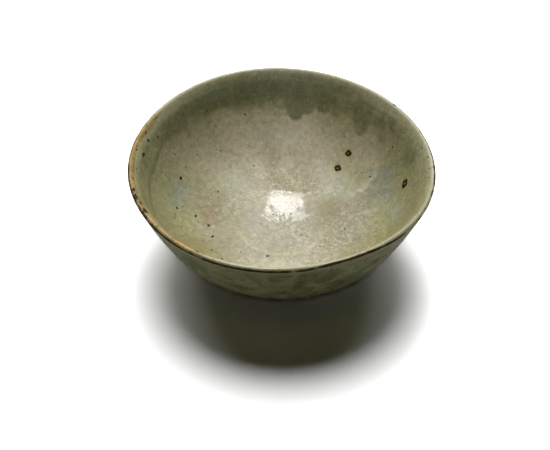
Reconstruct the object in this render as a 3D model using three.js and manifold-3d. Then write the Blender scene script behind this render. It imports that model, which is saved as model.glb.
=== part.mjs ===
// A glazed stoneware bowl, thrown on a wheel and turned at the foot, in millimetres with +Z up.
// The origin is on the table, below the middle of the rim.
//
// The fired bowl can't be taken apart, but a broken edge shows the bodies that it is built from:
// the thrown clay, the foot ring turned below it, and the coats of glass that are thick in the well,
// even on the walls and thin over the lip. Each of them is a closed solid of its own here.
import * as THREE from 'three';
import { mergeVertices } from 'three/addons/utils/BufferGeometryUtils.js';
import Module from 'manifold-3d';

const wasm = await Module();
wasm.setup();

// Driving sizes.
const RIM_DIAMETER = 175.2;
const HEIGHT = 63.5;
const LIP_THICKNESS = 3.9;
const FOOT_DIAMETER = 58.4;
const FOOT_HEIGHT = 7.8;
const STANDING_DIAMETER = 50.9;
const STANDING_WIDTH = 3.1;
const RECESS_HEIGHT = 6.8;
const WELL_DIAMETER = 53.6;
const WELL_FLOOR = 13.2;
const FLOOR_LEVEL = 15.2;
const WELL_STEP = 0.8;
const GROOVE_RADIUS = 77.9;
const GROOVE_LEVEL = 50.9;
const GROOVE_WIDTH = 1.6;
const GROOVE_DEPTH = 0.35;
const GROOVE_SLOPE = 68;
const LIP_INNER_DROP = 1.5;
const LIP_OUTER_DROP = 1.8;
const LIP_BAND = 2.6;
const WALL_SLOPE = -110.8;
const FOOT_ROUNDING = 1.3;
const FOOT_TAPER = 0.4;
const GLAZE_EDGE = 1.7;
const RECESS_RADIUS = 22.4;
const RECESS_ROUNDING = 1.2;
const RECESS_TAPER = 0.3;
const TURNED_CONE = 0.5;
const TURNED_CONE_RADIUS = 8;
const BEVEL_HEIGHT = 1.2;
const BEVEL_INSET = 0.1;

// Coats of glaze, and the gap that stands for the bond between two bodies.
const POOL_GLAZE = 1.1;
const WALL_GLAZE = 0.55;
const LIP_GLAZE = 0.25;
const FOOT_GLAZE = 0.6;
const BASE_GLAZE = 0.45;
const BOND_GAP = 0.05;

// The wheel and the fire leave the rim a little out of round, up to about half a millimetre.
// Each entry is a number of waves round the rim, how far they reach, and where the first crest is.
const RIM_WAVES = [
  { waves: 2, reach: 0.31, crest: -85 },
  { waves: 3, reach: 0.56, crest: -63 },
  { waves: 4, reach: 0.28, crest: -67 },
];
const RIM_LIFTS = [
  { waves: 1, reach: 0.21, crest: -176 },
  { waves: 2, reach: 0.44, crest: -168 },
  { waves: 4, reach: 0.4, crest: 109 },
];
const FOOT_OFFSET = 1.0;

// Iron blisters: grains of iron in the clay that boiled up through the glaze. Long is a blister's
// length up the wall, over its width.
const BLISTER_RADIUS = 1.7;
const blisters = [
  { name: 'iron_spot_upper', azimuth: 50, radius: 63.2, long: 1 },
  { name: 'iron_spot_lower', azimuth: 50.8, radius: 54.1, long: 1.05 },
  { name: 'iron_spot_right', azimuth: 6.8, radius: 72.4, long: 1.6 },
];

// Grit from the five pads that the bowl stood on in the kiln: ovals that stay in the standing face.
const PAD_LONG = 3.2;
const PAD_WIDE = 2.1;
const PAD_HEIGHT = 0.6;
const PAD_ANGLES = [18, 87, 163, 232, 305];

// The space round a piece that sits in a pit of its own.
const CUT_GAP = 0.3;

const ROUND_STEPS = 52;
const SMALL_STEPS = 14;
const WELD = 1e-4;

const rimRadius = RIM_DIAMETER / 2;
const footRadius = FOOT_DIAMETER / 2;
const wellRadius = WELL_DIAMETER / 2;
const degrees = THREE.MathUtils.degToRad;

// Finishes, from the colours of the glaze where it is thick, even, thin or worn.
const finish = (color, roughness) => new THREE.MeshStandardMaterial({ color, roughness, metalness: 0 });
const stoneware = finish(0x8c7a63, 0.9);
const footClay = finish(0x8a6246, 0.92);
const celadon = finish(0xa09a78, 0.25);
const pooledCeladon = finish(0xb8b198, 0.18);
const outerCeladon = finish(0x7f8262, 0.28);
const ironLip = finish(0x8f7338, 0.4);
const ironSpot = finish(0x3b2a1c, 0.45);
const kilnGrit = finish(0xb9a78c, 0.97);

const point = (radius, height) => new THREE.Vector2(radius, height);
const heading = (angle) => point(Math.cos(degrees(angle)), Math.sin(degrees(angle)));

// A smooth line in the half plane (x = radius, y = height) between two points. It leaves the first
// and arrives at the second at the angles given in degrees, and a longer pull holds it straight for
// longer.
function sweep(start, end) {
  return new THREE.CubicBezierCurve(
    start.at,
    start.at.clone().addScaledVector(heading(start.angle), start.pull),
    end.at.clone().addScaledVector(heading(end.angle), -end.pull),
    end.at,
  );
}

// The surface of the glaze, as one walk from the middle of the well, up the inside, over the lip
// and down the outside to the foot. Air is always on the left of the walk.
const wellMiddle = point(0, WELL_FLOOR);
const wellEdge = point(wellRadius, FLOOR_LEVEL);
const wellRim = point(wellRadius - WELL_STEP, FLOOR_LEVEL - WELL_STEP);
const grooveStart = point(GROOVE_RADIUS, GROOVE_LEVEL);
const grooveWay = heading(GROOVE_SLOPE);
const grooveEnd = grooveStart.clone().addScaledVector(grooveWay, GROOVE_WIDTH);
const grooveBottom = grooveStart.clone()
  .addScaledVector(grooveWay, GROOVE_WIDTH / 2)
  .add(point(grooveWay.y, -grooveWay.x).multiplyScalar(2 * GROOVE_DEPTH));
const lipInner = point(rimRadius - LIP_THICKNESS, HEIGHT - LIP_INNER_DROP);
const lipOuter = point(rimRadius, HEIGHT - LIP_OUTER_DROP);
const wallTop = lipOuter.clone().addScaledVector(heading(WALL_SLOPE), LIP_BAND);
const bellyEnd = point(footRadius + FOOT_ROUNDING, FOOT_HEIGHT);
const flankTop = point(footRadius, FOOT_HEIGHT - FOOT_ROUNDING);
const flankEnd = point(footRadius - FOOT_TAPER, GLAZE_EDGE);

const wellFloor = sweep({ at: wellMiddle, angle: 0, pull: 9 }, { at: wellRim, angle: 6, pull: 8 });
const wellStep = new THREE.LineCurve(wellRim, wellEdge);
const innerWall = sweep(
  { at: wellEdge, angle: 1, pull: 22 },
  { at: grooveStart, angle: 70.5, pull: 36 },
);
const groove = new THREE.QuadraticBezierCurve(grooveStart, grooveBottom, grooveEnd);
const innerLip = sweep(
  { at: grooveEnd, angle: GROOVE_SLOPE, pull: 4 },
  { at: lipInner, angle: 56, pull: 3 },
);
const bead = sweep({ at: lipInner, angle: 61, pull: 2.8 }, { at: lipOuter, angle: -90, pull: 2.3 });
const outerLip = new THREE.LineCurve(lipOuter, wallTop);
const outerWall = sweep(
  { at: wallTop, angle: WALL_SLOPE, pull: 54.6 },
  { at: bellyEnd, angle: -171, pull: 29 },
);
const footCurve = new THREE.QuadraticBezierCurve(bellyEnd, point(footRadius, FOOT_HEIGHT), flankTop);
const flank = new THREE.LineCurve(flankTop, flankEnd);

// The same for the underside: up the inside of the foot ring and in to the middle of the base,
// where the turning tool left a low cone.
const innerFlankEnd = point(RECESS_RADIUS + RECESS_TAPER, GLAZE_EDGE);
const innerFlankTop = point(RECESS_RADIUS, RECESS_HEIGHT - RECESS_ROUNDING);
const recessEdge = point(RECESS_RADIUS - RECESS_ROUNDING, RECESS_HEIGHT);
const baseMiddle = point(0, RECESS_HEIGHT - TURNED_CONE);
const innerFlank = new THREE.LineCurve(innerFlankEnd, innerFlankTop);
const recessCurve = new THREE.QuadraticBezierCurve(
  innerFlankTop,
  point(RECESS_RADIUS, RECESS_HEIGHT),
  recessEdge,
);
const recess = new THREE.QuadraticBezierCurve(
  recessEdge,
  point(TURNED_CONE_RADIUS, RECESS_HEIGHT),
  baseMiddle,
);

// Stations along a walk: a point of the glaze surface, the direction out into the air, and the
// thickness of the glaze below it. Where two lines meet, the station has their mean direction,
// and on the axis it is straight up or down, so that every layer ends on the axis.
function stationsAlong(stretches) {
  const stations = [];
  for (const { curve, steps, glaze } of stretches) {
    for (let i = 0; i <= steps; i += 1) {
      const share = i / steps;
      const surface = curve.getPoint(share);
      const way = curve.getTangent(share);
      const air = surface.x < WELD ? point(0, Math.sign(way.x)) : point(-way.y, way.x);
      const coat = THREE.MathUtils.lerp(glaze[0], glaze[1], share);
      if (i === 0 && stations.length > 0) {
        stations.at(-1).air.add(air).normalize();
      } else {
        stations.push({ surface, air, coat });
      }
    }
  }
  return stations;
}

const overBowl = [
  { curve: wellFloor, steps: 3, glaze: [POOL_GLAZE, POOL_GLAZE] },
  { curve: wellStep, steps: 1, glaze: [POOL_GLAZE, WALL_GLAZE] },
  { curve: innerWall, steps: 7, glaze: [WALL_GLAZE, WALL_GLAZE] },
  { curve: groove, steps: 2, glaze: [WALL_GLAZE, WALL_GLAZE] },
  { curve: innerLip, steps: 3, glaze: [WALL_GLAZE, LIP_GLAZE] },
  { curve: bead, steps: 4, glaze: [LIP_GLAZE, LIP_GLAZE] },
  { curve: outerLip, steps: 1, glaze: [LIP_GLAZE, LIP_GLAZE] },
  { curve: outerWall, steps: 9, glaze: [LIP_GLAZE, FOOT_GLAZE] },
  { curve: footCurve, steps: 2, glaze: [FOOT_GLAZE, FOOT_GLAZE] },
  { curve: flank, steps: 1, glaze: [FOOT_GLAZE, FOOT_GLAZE] },
];
const underBase = [
  { curve: innerFlank, steps: 1, glaze: [BASE_GLAZE, BASE_GLAZE] },
  { curve: recessCurve, steps: 2, glaze: [BASE_GLAZE, BASE_GLAZE] },
  { curve: recess, steps: 2, glaze: [BASE_GLAZE, BASE_GLAZE] },
];
const upper = stationsAlong(overBowl);
const lower = stationsAlong(underBase);

function lastStation(stretches, curve) {
  const passed = stretches.findIndex((stretch) => stretch.curve === curve) + 1;
  return stretches.slice(0, passed).reduce((sum, { steps }) => sum + steps, 0);
}

// Where one coat ends and the next begins. The lip's iron-brown band starts one step below its
// bead. The foot ring is joined to the bowl between the middles of the two curves above it.
const wellEnds = lastStation(overBowl, wellFloor);
const innerEnds = lastStation(overBowl, innerLip) - 1;
const lipEnds = lastStation(overBowl, outerLip);
const outerEnds = lastStation(overBowl, outerWall);
const footEnds = lastStation(overBowl, flank);
const outerSeam = lastStation(overBowl, footCurve) - 1;
const innerSeam = lastStation(underBase, recessCurve) - 1;

const surfaceAt = (station) => station.surface.clone();
const backAt = (station) => station.surface.clone().addScaledVector(station.air, -station.coat);
const clayAt = (station) => station.surface.clone().addScaledVector(station.air, -station.coat - BOND_GAP);

function towards(from, to, distance) {
  const way = to.clone().sub(from).normalize();
  return from.clone().addScaledVector(way, distance);
}

// The rim's waves grow with height and radius, so the foot stays flat and round.
function wave(list, angle) {
  let sum = 0;
  for (const { waves, reach, crest } of list) {
    sum += reach * Math.cos(waves * angle - degrees(crest));
  }
  return sum;
}

function settled(x, y, z) {
  const radius = Math.hypot(x, y);
  const angle = Math.atan2(y, x);
  const rise = (z / HEIGHT) ** 2;
  const share = rise * radius / rimRadius;
  const widen = 1 + share * wave(RIM_WAVES, angle) / rimRadius;
  const lift = share * wave(RIM_LIFTS, angle);
  return new THREE.Vector3(x * widen + FOOT_OFFSET * (1 - rise), y * widen, z + lift);
}

function settle(geometry) {
  const place = geometry.attributes.position;
  for (let i = 0; i < place.count; i += 1) {
    const moved = settled(place.getX(i), place.getY(i), place.getZ(i));
    place.setXYZ(i, moved.x, moved.y, moved.z);
  }
  return geometry;
}

// Joins shared corners and drops triangles that have shrunk to a line, as they do on the axis.
function welded(geometry) {
  geometry.deleteAttribute('normal');
  geometry.deleteAttribute('uv');
  const merged = mergeVertices(geometry, WELD);
  const corners = merged.index.array;
  const kept = [];
  for (let i = 0; i < corners.length; i += 3) {
    const [a, b, c] = corners.slice(i, i + 3);
    if (a !== b && b !== c && c !== a) {
      kept.push(a, b, c);
    }
  }
  merged.setIndex(kept);
  merged.computeVertexNormals();
  return merged;
}

// Spins an outline, walked with its air on the left, about the Z axis. The last lines of the
// outline, as many as are counted in turned, get the other diagonal across their four-cornered
// faces: two layers that lie on each other are walked in opposite ways, and once the rim's waves
// have bent those faces, only like diagonals keep the layers apart.
function revolve(outline, steps, turned = 0) {
  const points = [...outline].reverse();
  const onAxis = points[0].x < WELD && points.at(-1).x < WELD;
  if (!onAxis) {
    points.push(points[0].clone());
  }
  const geometry = new THREE.LatheGeometry(points, steps).rotateX(Math.PI / 2);
  const corners = geometry.index.array;
  for (let step = 0; step < steps; step += 1) {
    for (let row = 0; row < turned; row += 1) {
      const first = 6 * (step * (points.length - 1) + row);
      const [a, b, d, c] = corners.slice(first, first + 4);
      corners.set([a, b, c, a, c, d], first);
    }
  }
  return geometry;
}

// A coat of glaze between two stations. Its ends stay clear of its neighbours by half a bond gap.
function coatOutline(stations, from, to, firstTrim, lastTrim) {
  const span = stations.slice(from, to + 1);
  const trimmed = (line) => {
    const ends = [...line];
    ends[0] = towards(line[0], line[1], firstTrim);
    ends[ends.length - 1] = towards(line.at(-1), line.at(-2), lastTrim);
    return ends;
  };
  const top = trimmed(span.map(surfaceAt));
  const back = trimmed(span.map(backAt));
  return [...top, ...back.reverse()];
}

function coat(stations, from, to, firstTrim = BOND_GAP / 2, lastTrim = BOND_GAP / 2) {
  const outline = coatOutline(stations, from, to, firstTrim, lastTrim);
  return welded(settle(revolve(outline, ROUND_STEPS, to - from)));
}

const wellGlaze = coat(upper, 0, wellEnds, 0);
const innerGlazeWhole = coat(upper, wellEnds, innerEnds);
const lipGlaze = coat(upper, innerEnds, lipEnds);
const outerGlaze = coat(upper, lipEnds, outerEnds);
const footGlaze = coat(upper, outerEnds, footEnds);
const baseGlaze = coat(lower, 0, lower.length - 1, BOND_GAP / 2, 0);

// The thrown bowl: floor and wall, from the middle of the well over the lip to the seam, and back
// under the floor.
function clayBowl() {
  const over = upper.slice(0, outerSeam + 1).map(clayAt);
  const under = lower.slice(innerSeam).map(clayAt);
  return welded(settle(revolve([...over, ...under], ROUND_STEPS)));
}

// The foot ring: glazed flanks, a bevel at each side and a flat bare face to stand on.
function footRing() {
  const standingRadius = STANDING_DIAMETER / 2;
  const outerFlank = upper.slice(outerSeam, footEnds + 1).map(clayAt);
  const inner = lower.slice(0, innerSeam + 1).map(clayAt);
  outerFlank[0] = towards(outerFlank[0], outerFlank[1], BOND_GAP);
  inner[innerSeam] = towards(inner[innerSeam], inner[innerSeam - 1], BOND_GAP);
  const sole = [
    point(outerFlank.at(-1).x - BEVEL_INSET, BEVEL_HEIGHT),
    point(standingRadius + STANDING_WIDTH / 2, 0),
    point(standingRadius - STANDING_WIDTH / 2, 0),
    point(inner[0].x + BEVEL_INSET, BEVEL_HEIGHT),
  ];
  return welded(settle(revolve([...outerFlank, ...sole, ...inner], ROUND_STEPS)));
}

function toSolid(geometry) {
  return new wasm.Manifold(new wasm.Mesh({
    numProp: 3,
    vertProperties: new Float32Array(geometry.attributes.position.array),
    triVerts: new Uint32Array(geometry.index.array),
  }));
}

function cutAway(geometry, cutters) {
  let solid = toSolid(geometry);
  for (const cutter of cutters) {
    solid = solid.subtract(toSolid(cutter));
  }
  const { vertProperties, triVerts, numProp } = solid.getMesh();
  const place = [];
  for (let i = 0; i < vertProperties.length; i += numProp) {
    place.push(vertProperties[i], vertProperties[i + 1], vertProperties[i + 2]);
  }
  const result = new THREE.BufferGeometry();
  result.setAttribute('position', new THREE.Float32BufferAttribute(place, 3));
  result.setIndex(Array.from(triVerts));
  result.computeVertexNormals();
  return result;
}

// The place on the inner wall at a radius, found by halving, because the wall rises all the way.
function shareAtRadius(radius) {
  let low = 0;
  let high = 1;
  for (let i = 0; i < 30; i += 1) {
    const middle = (low + high) / 2;
    if (innerWall.getPoint(middle).x < radius) {
      low = middle;
    } else {
      high = middle;
    }
  }
  return low;
}

// The frame of a blister: X round the bowl, Y up the wall, Z out of the glaze. A ray from the air
// finds the face of the glaze that it sits on.
function placeOnWall({ azimuth, radius, long }) {
  const PROBE_START = 8;
  const share = shareAtRadius(radius);
  const spot = innerWall.getPoint(share);
  const way = innerWall.getTangent(share);
  const turn = new THREE.Matrix4().makeRotationZ(degrees(azimuth));
  const up = new THREE.Vector3(way.x, 0, way.y).transformDirection(turn);
  const air = new THREE.Vector3(-way.y, 0, way.x).transformDirection(turn);
  const guess = new THREE.Vector3(spot.x, 0, spot.y).applyMatrix4(turn);
  const start = settled(guess.x, guess.y, guess.z).addScaledVector(air, PROBE_START);
  const probe = new THREE.Raycaster(start, air.clone().negate());
  const [hit] = probe.intersectObject(new THREE.Mesh(innerGlazeWhole));
  const out = hit.face.normal;
  const across = new THREE.Vector3().crossVectors(up, out).normalize();
  const along = new THREE.Vector3().crossVectors(out, across).multiplyScalar(long);
  return new THREE.Matrix4().makeBasis(across, along, out).setPosition(hit.point);
}

// The section of a blister: a burst crater with a raised ring round a low middle.
const craterFloor = -(WALL_GLAZE - CUT_GAP);
const crater = [
  point(0, 0.12),
  point(0.45 * BLISTER_RADIUS, 0.2),
  point(0.68 * BLISTER_RADIUS, 0.42),
  point(0.9 * BLISTER_RADIUS, 0.34),
  point(BLISTER_RADIUS, 0.02),
  point(0.8 * BLISTER_RADIUS, craterFloor),
  point(0, craterFloor),
];
const PIT_REACH = 1;
const pit = [
  point(0, PIT_REACH),
  point(BLISTER_RADIUS + CUT_GAP, PIT_REACH),
  point(BLISTER_RADIUS + CUT_GAP, -PIT_REACH),
  point(0, -PIT_REACH),
];
const pitCutters = blisters.map((blister) =>
  welded(revolve(pit, SMALL_STEPS)).applyMatrix4(placeOnWall(blister)));

function padShape(grow, height) {
  const oval = new THREE.Shape();
  oval.absellipse(0, 0, PAD_WIDE + grow, PAD_LONG + grow, 0, 2 * Math.PI);
  return new THREE.ExtrudeGeometry(oval, { depth: height, bevelEnabled: false, curveSegments: 10 });
}

function padPlace(angle) {
  const turn = degrees(angle);
  const reach = STANDING_DIAMETER / 2;
  return new THREE.Matrix4()
    .makeRotationZ(turn)
    .setPosition(FOOT_OFFSET + reach * Math.cos(turn), reach * Math.sin(turn), 0);
}

const NOTCH_BELOW = 1;
const notchCutters = PAD_ANGLES.map((angle) => {
  const notch = padShape(CUT_GAP, PAD_HEIGHT + CUT_GAP + NOTCH_BELOW).translate(0, 0, -NOTCH_BELOW);
  return welded(notch).applyMatrix4(padPlace(angle));
});

function named(name, geometry, material) {
  const mesh = new THREE.Mesh(geometry, material);
  mesh.name = name;
  return mesh;
}

const clay = new THREE.Group();
clay.add(
  named('clay_bowl', clayBowl(), stoneware),
  named('foot_ring', cutAway(footRing(), notchCutters), footClay),
);

const glazes = new THREE.Group();
glazes.add(
  named('well_glaze', wellGlaze, pooledCeladon),
  named('inner_glaze', cutAway(innerGlazeWhole, pitCutters), celadon),
  named('lip_glaze', lipGlaze, ironLip),
  named('outer_glaze', outerGlaze, outerCeladon),
  named('foot_glaze', footGlaze, outerCeladon),
  named('base_glaze', baseGlaze, outerCeladon),
);

const spots = new THREE.Group();
for (const blister of blisters) {
  const spot = named(blister.name, welded(revolve(crater, SMALL_STEPS)), ironSpot);
  spot.applyMatrix4(placeOnWall(blister));
  spots.add(spot);
}

const pads = new THREE.Group();
PAD_ANGLES.forEach((angle, i) => {
  const pad = named(`kiln_pad_${i + 1}`, welded(padShape(0, PAD_HEIGHT)), kilnGrit);
  pad.applyMatrix4(padPlace(angle));
  pads.add(pad);
});

const group = new THREE.Group();
group.add(clay, glazes, spots, pads);

export default group;
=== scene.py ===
# %% [markdown]
# # A glazed stoneware bowl
#
# This lesson dresses a packed CAD model of a thrown bowl. The CAD solids give the true sizes, and
# Blender gives what the eye sees: glaze that has run, pooled and burnt thin at the lip, iron that
# has boiled through it, and bare clay on the foot. The model comes in as a fixed frame, in metres,
# with +Z up and the origin on the table below the middle of the rim.

# %% The packed model
import math

import bpy
import numpy as np
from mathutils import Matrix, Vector
from mathutils.bvhtree import BVHTree


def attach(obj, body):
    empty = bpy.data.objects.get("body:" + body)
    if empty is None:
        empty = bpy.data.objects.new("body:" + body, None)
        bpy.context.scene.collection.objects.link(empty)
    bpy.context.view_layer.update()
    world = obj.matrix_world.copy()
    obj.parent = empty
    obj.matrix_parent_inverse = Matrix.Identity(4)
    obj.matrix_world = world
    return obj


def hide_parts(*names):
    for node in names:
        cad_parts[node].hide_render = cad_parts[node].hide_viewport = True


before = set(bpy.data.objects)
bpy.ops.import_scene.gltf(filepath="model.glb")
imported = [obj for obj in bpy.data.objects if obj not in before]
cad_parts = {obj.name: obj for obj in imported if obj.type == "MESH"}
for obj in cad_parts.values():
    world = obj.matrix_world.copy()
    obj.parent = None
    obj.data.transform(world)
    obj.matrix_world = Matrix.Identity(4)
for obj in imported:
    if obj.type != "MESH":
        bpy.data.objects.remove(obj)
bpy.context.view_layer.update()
MM = 0.001

# %% [markdown]
# ## The camera
#
# The camera comes first, because some details are placed by where the photograph shows them. Its
# angle and lens were found from the rim, which is nearly a circle: the way that a circle of known
# size looks squashed gives the height of the eye, and the way its far side looks smaller gives the
# distance. A focal length in pixels becomes one in millimetres through the width of the sensor.

# %% The camera
PHOTO_WIDTH = 550
PHOTO_HEIGHT = 450
FOCAL_PIXELS = 1403.5
SENSOR_WIDTH = 36.0
EYE = Vector((-3.357, -602.42, 591.14)) * MM
LOOKS_DOWN = 43.805

camera_data = bpy.data.cameras.new("photo_camera")
camera_data.sensor_width = SENSOR_WIDTH
camera_data.lens = FOCAL_PIXELS / PHOTO_WIDTH * SENSOR_WIDTH
camera_data.clip_start = 0.05
camera_data.clip_end = 50
camera = bpy.data.objects.new("photo_camera", camera_data)
camera.location = EYE
camera.rotation_euler = (math.radians(90 - LOOKS_DOWN), 0, 0)
bpy.context.scene.collection.objects.link(camera)
bpy.context.scene.camera = camera


def pixel_ray(x, y):
    """The direction from the eye through a pixel of the photograph."""
    down = math.radians(LOOKS_DOWN)
    ahead = Vector((0, math.cos(down), -math.sin(down)))
    above = Vector((0, math.sin(down), math.cos(down)))
    right = Vector((1, 0, 0))
    across = (x - PHOTO_WIDTH / 2) / FOCAL_PIXELS
    upward = (PHOTO_HEIGHT / 2 - y) / FOCAL_PIXELS
    return (ahead + across * right + upward * above).normalized()


print("lens in mm:", round(camera_data.lens, 2))

# %% [markdown]
# ## One walk over the bowl
#
# A thrown form is a section spun round. The section could be a stack of rings typed in by hand, but
# smooth curves between a few measured points are closer to what a potter's rib leaves. The walk
# starts in the middle of the well, goes up the inside, over the lip and down to the foot. A second
# walk crosses the sole of the foot ring and a third goes up into the recess under the base.
# Everything is measured along the walk, so that a glaze line is a length and not a height.

# %% Sizes of the section, in millimetres
RIM_DIAMETER = 175.2
HEIGHT = 63.5
LIP_THICKNESS = 3.9
FOOT_DIAMETER = 58.4
FOOT_HEIGHT = 7.8
STANDING_DIAMETER = 50.9
STANDING_WIDTH = 3.1
RECESS_HEIGHT = 6.8
RECESS_RADIUS = 22.4
WELL_DIAMETER = 53.6
WELL_FLOOR = 13.2
FLOOR_LEVEL = 15.2
WELL_STEP = 0.5
GROOVE = (77.9, 50.9)
GROOVE_WIDTH = 1.6
GROOVE_DEPTH = 0.08
GROOVE_SLOPE = 68
WALL_SLOPE = -110.8
LIP_BAND = 2.6
GLAZE_EDGE = 1.7
rim_radius = RIM_DIAMETER / 2
foot_radius = FOOT_DIAMETER / 2
well_radius = WELL_DIAMETER / 2
print("radius of the rim, the foot and the well in mm:", rim_radius, foot_radius, well_radius)

# %% [markdown]
# ## Lines that a rib would leave
#
# A potter's rib leaves long smooth curves, and a line with four control points is one: it leaves
# its start in one direction and arrives at its end in another, and a pull says how long it keeps
# each. Short stretches have two or three control points.

# %% Smooth stretches
def heading(angle):
    """A unit step in the half plane of radius and height."""
    return np.array([math.cos(math.radians(angle)), math.sin(math.radians(angle))])


def sweep(start, leaves, start_pull, end, arrives, end_pull):
    """The four control points of a smooth line with a direction and a pull at each end."""
    start, end = np.array(start, float), np.array(end, float)
    return [start, start + start_pull * heading(leaves), end - end_pull * heading(arrives), end]


def through(*controls):
    """A straight or simply bent line, from two or three control points."""
    return [np.array(control, float) for control in controls]


print("a step at 60 degrees:", heading(60).round(3))

# %% [markdown]
# ## The stretches of the section
#
# The stretches follow each other as a fingertip would feel them: the well, the step round it, the
# wall, the faint groove under the lip, the bead of the lip, the outer wall, the curve of the foot
# and its flank. Inside the foot ring come an inner flank, a curve and the recess.

# %% The stretches
groove_start = np.array(GROOVE)
groove_end = groove_start + GROOVE_WIDTH * heading(GROOVE_SLOPE)
groove_bottom = (groove_start + groove_end) / 2 + 2 * GROOVE_DEPTH * heading(GROOVE_SLOPE - 90)
well_rim = (well_radius - 2.2, FLOOR_LEVEL - WELL_STEP)
well_edge = (well_radius + 1.0, FLOOR_LEVEL)
lip_inner = np.array((rim_radius - LIP_THICKNESS, HEIGHT - 1.5))
lip_outer = np.array((rim_radius, HEIGHT - 1.8))
wall_top = lip_outer + LIP_BAND * heading(WALL_SLOPE)
belly_end = (foot_radius + 1.3, FOOT_HEIGHT)
flank_top = (foot_radius, FOOT_HEIGHT - 1.3)
flank_end = (foot_radius - 0.4, GLAZE_EDGE)
upper_stretches = [
    ("well", sweep((0, WELL_FLOOR), 0, 9, well_rim, 6, 8)),
    ("step", through(well_rim, well_edge)),
    ("wall", sweep(well_edge, 1, 22, groove_start, 70.5, 36)),
    ("groove", through(groove_start, groove_bottom, groove_end)),
    ("lip inside", sweep(groove_end, GROOVE_SLOPE, 4, lip_inner, 56, 3)),
    ("bead", sweep(lip_inner, 61, 2.8, lip_outer, -90, 2.3)),
    ("lip outside", through(lip_outer, wall_top)),
    ("outer wall", sweep(wall_top, WALL_SLOPE, 54.6, belly_end, -171, 29)),
    ("foot curve", through(belly_end, (foot_radius, FOOT_HEIGHT), flank_top)),
    ("flank", through(flank_top, flank_end)),
]
inner_flank_end = (RECESS_RADIUS + 0.3, GLAZE_EDGE)
inner_flank_top = (RECESS_RADIUS, RECESS_HEIGHT - 1.2)
recess_edge = (RECESS_RADIUS - 1.2, RECESS_HEIGHT)
lower_stretches = [
    ("inner flank", through(inner_flank_end, inner_flank_top)),
    ("recess curve", through(inner_flank_top, (RECESS_RADIUS, RECESS_HEIGHT), recess_edge)),
    ("recess", through(recess_edge, (8, RECESS_HEIGHT), (0, RECESS_HEIGHT - 0.5))),
]
print("stretches in the section:", len(upper_stretches) + len(lower_stretches))

# %% [markdown]
# ## Walking along the section
#
# The stretches are joined, measured and softened a little, as melted glass softens every corner.
# At any length along the walk the class gives the point of the surface and the direction into the
# air, and it keeps the length at which each stretch ends.

# %% A walk that can be asked for points
SAMPLES = 400
FINE = 0.1


def along(controls, count):
    """Points on the line that the control points pull, whatever their number."""
    share = np.linspace(0, 1, count)[:, None]
    layer = [control * np.ones_like(share) for control in controls]
    while len(layer) > 1:
        layer = [a * (1 - share) + b * share for a, b in zip(layer, layer[1:])]
    return layer[0]


class Walk:
    """A softened line in the half plane, asked for by the length walked in millimetres."""

    def __init__(self, stretches, soften):
        parts = [along(controls, SAMPLES) for _, controls in stretches]
        line = np.concatenate([parts[0][:1]] + [part[1:] for part in parts])
        steps = np.hypot(*np.diff(line, axis=0).T)
        length = np.concatenate([[0], np.cumsum(steps)])
        self.ends = {
            name: length[(SAMPLES - 1) * (i + 1)] for i, (name, _) in enumerate(stretches)
        }
        self.length = length[-1]
        count = int(round(self.length / FINE)) + 1
        self.s = np.linspace(0, self.length, count)
        even = np.stack([np.interp(self.s, length, line[:, k]) for k in (0, 1)], 1)
        reach = int(4 * soften / FINE)
        before = 2 * even[0] - even[reach:0:-1]
        after = 2 * even[-1] - even[-2 : -reach - 2 : -1]
        padded = np.concatenate([before, even, after])
        weight = np.exp(-0.5 * (np.arange(-reach, reach + 1) * FINE / soften) ** 2)
        weight /= weight.sum()
        self.line = np.stack([np.convolve(padded[:, k], weight, "valid") for k in (0, 1)], 1)
        way = np.gradient(self.line, axis=0)
        way /= np.hypot(way[:, 0], way[:, 1])[:, None]
        self.air = np.stack([-way[:, 1], way[:, 0]], 1)

    def at(self, s):
        """Radius, height, and the two parts of the direction into the air."""
        return [np.interp(s, self.s, column) for column in (*self.line.T, *self.air.T)]


SOFTEN_GLAZE = 0.6
upper = Walk(upper_stretches, SOFTEN_GLAZE)
lower = Walk(lower_stretches, SOFTEN_GLAZE)
lip_top = upper.s[np.argmax(upper.line[:, 1])]
print("walk in mm:", round(upper.length, 1), "lip top at", round(lip_top, 1))

# %% [markdown]
# ## Settling out of round
#
# A wheel makes a circle, but lifting the wet bowl off and firing it does not keep one. The rim here
# dips and widens by about half a millimetre. A few waves round the rim, which fade towards the
# foot, give that without touching the section. Each is a number of waves, a reach and the direction
# of a crest.

# %% The waves of the rim
RIM_WAVES = [(2, 0.31, -85), (3, 0.56, -63), (4, 0.28, -67)]
RIM_LIFTS = [(1, 0.21, -176), (2, 0.44, -168), (4, 0.40, 109)]
FOOT_OFFSET = 1.0


def wave(waves, angle):
    """The sum of a list of waves at an angle round the bowl."""
    return sum(reach * np.cos(count * angle - math.radians(crest)) for count, reach, crest in waves)


def settled(radius, angle, height):
    """A point of the true round form, moved to where the fire left it."""
    rise = (height / HEIGHT) ** 2
    share = rise * radius / rim_radius
    widen = 1 + share * wave(RIM_WAVES, angle) / rim_radius
    x = radius * np.cos(angle) * widen + FOOT_OFFSET * (1 - rise)
    y = radius * np.sin(angle) * widen
    z = height + share * wave(RIM_LIFTS, angle)
    return np.stack([x, y, z + 0 * angle], -1)


def surface(walk, s, angle, relief=None, sink=0.0):
    """Points of a skin in millimetres: out along the air by a relief, or in by a sink."""
    radius, height, air_out, air_up = walk.at(s)
    out = -sink if relief is None else relief(s, angle) - sink
    return settled(radius + air_out * out, angle, height + air_up * out)


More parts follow.
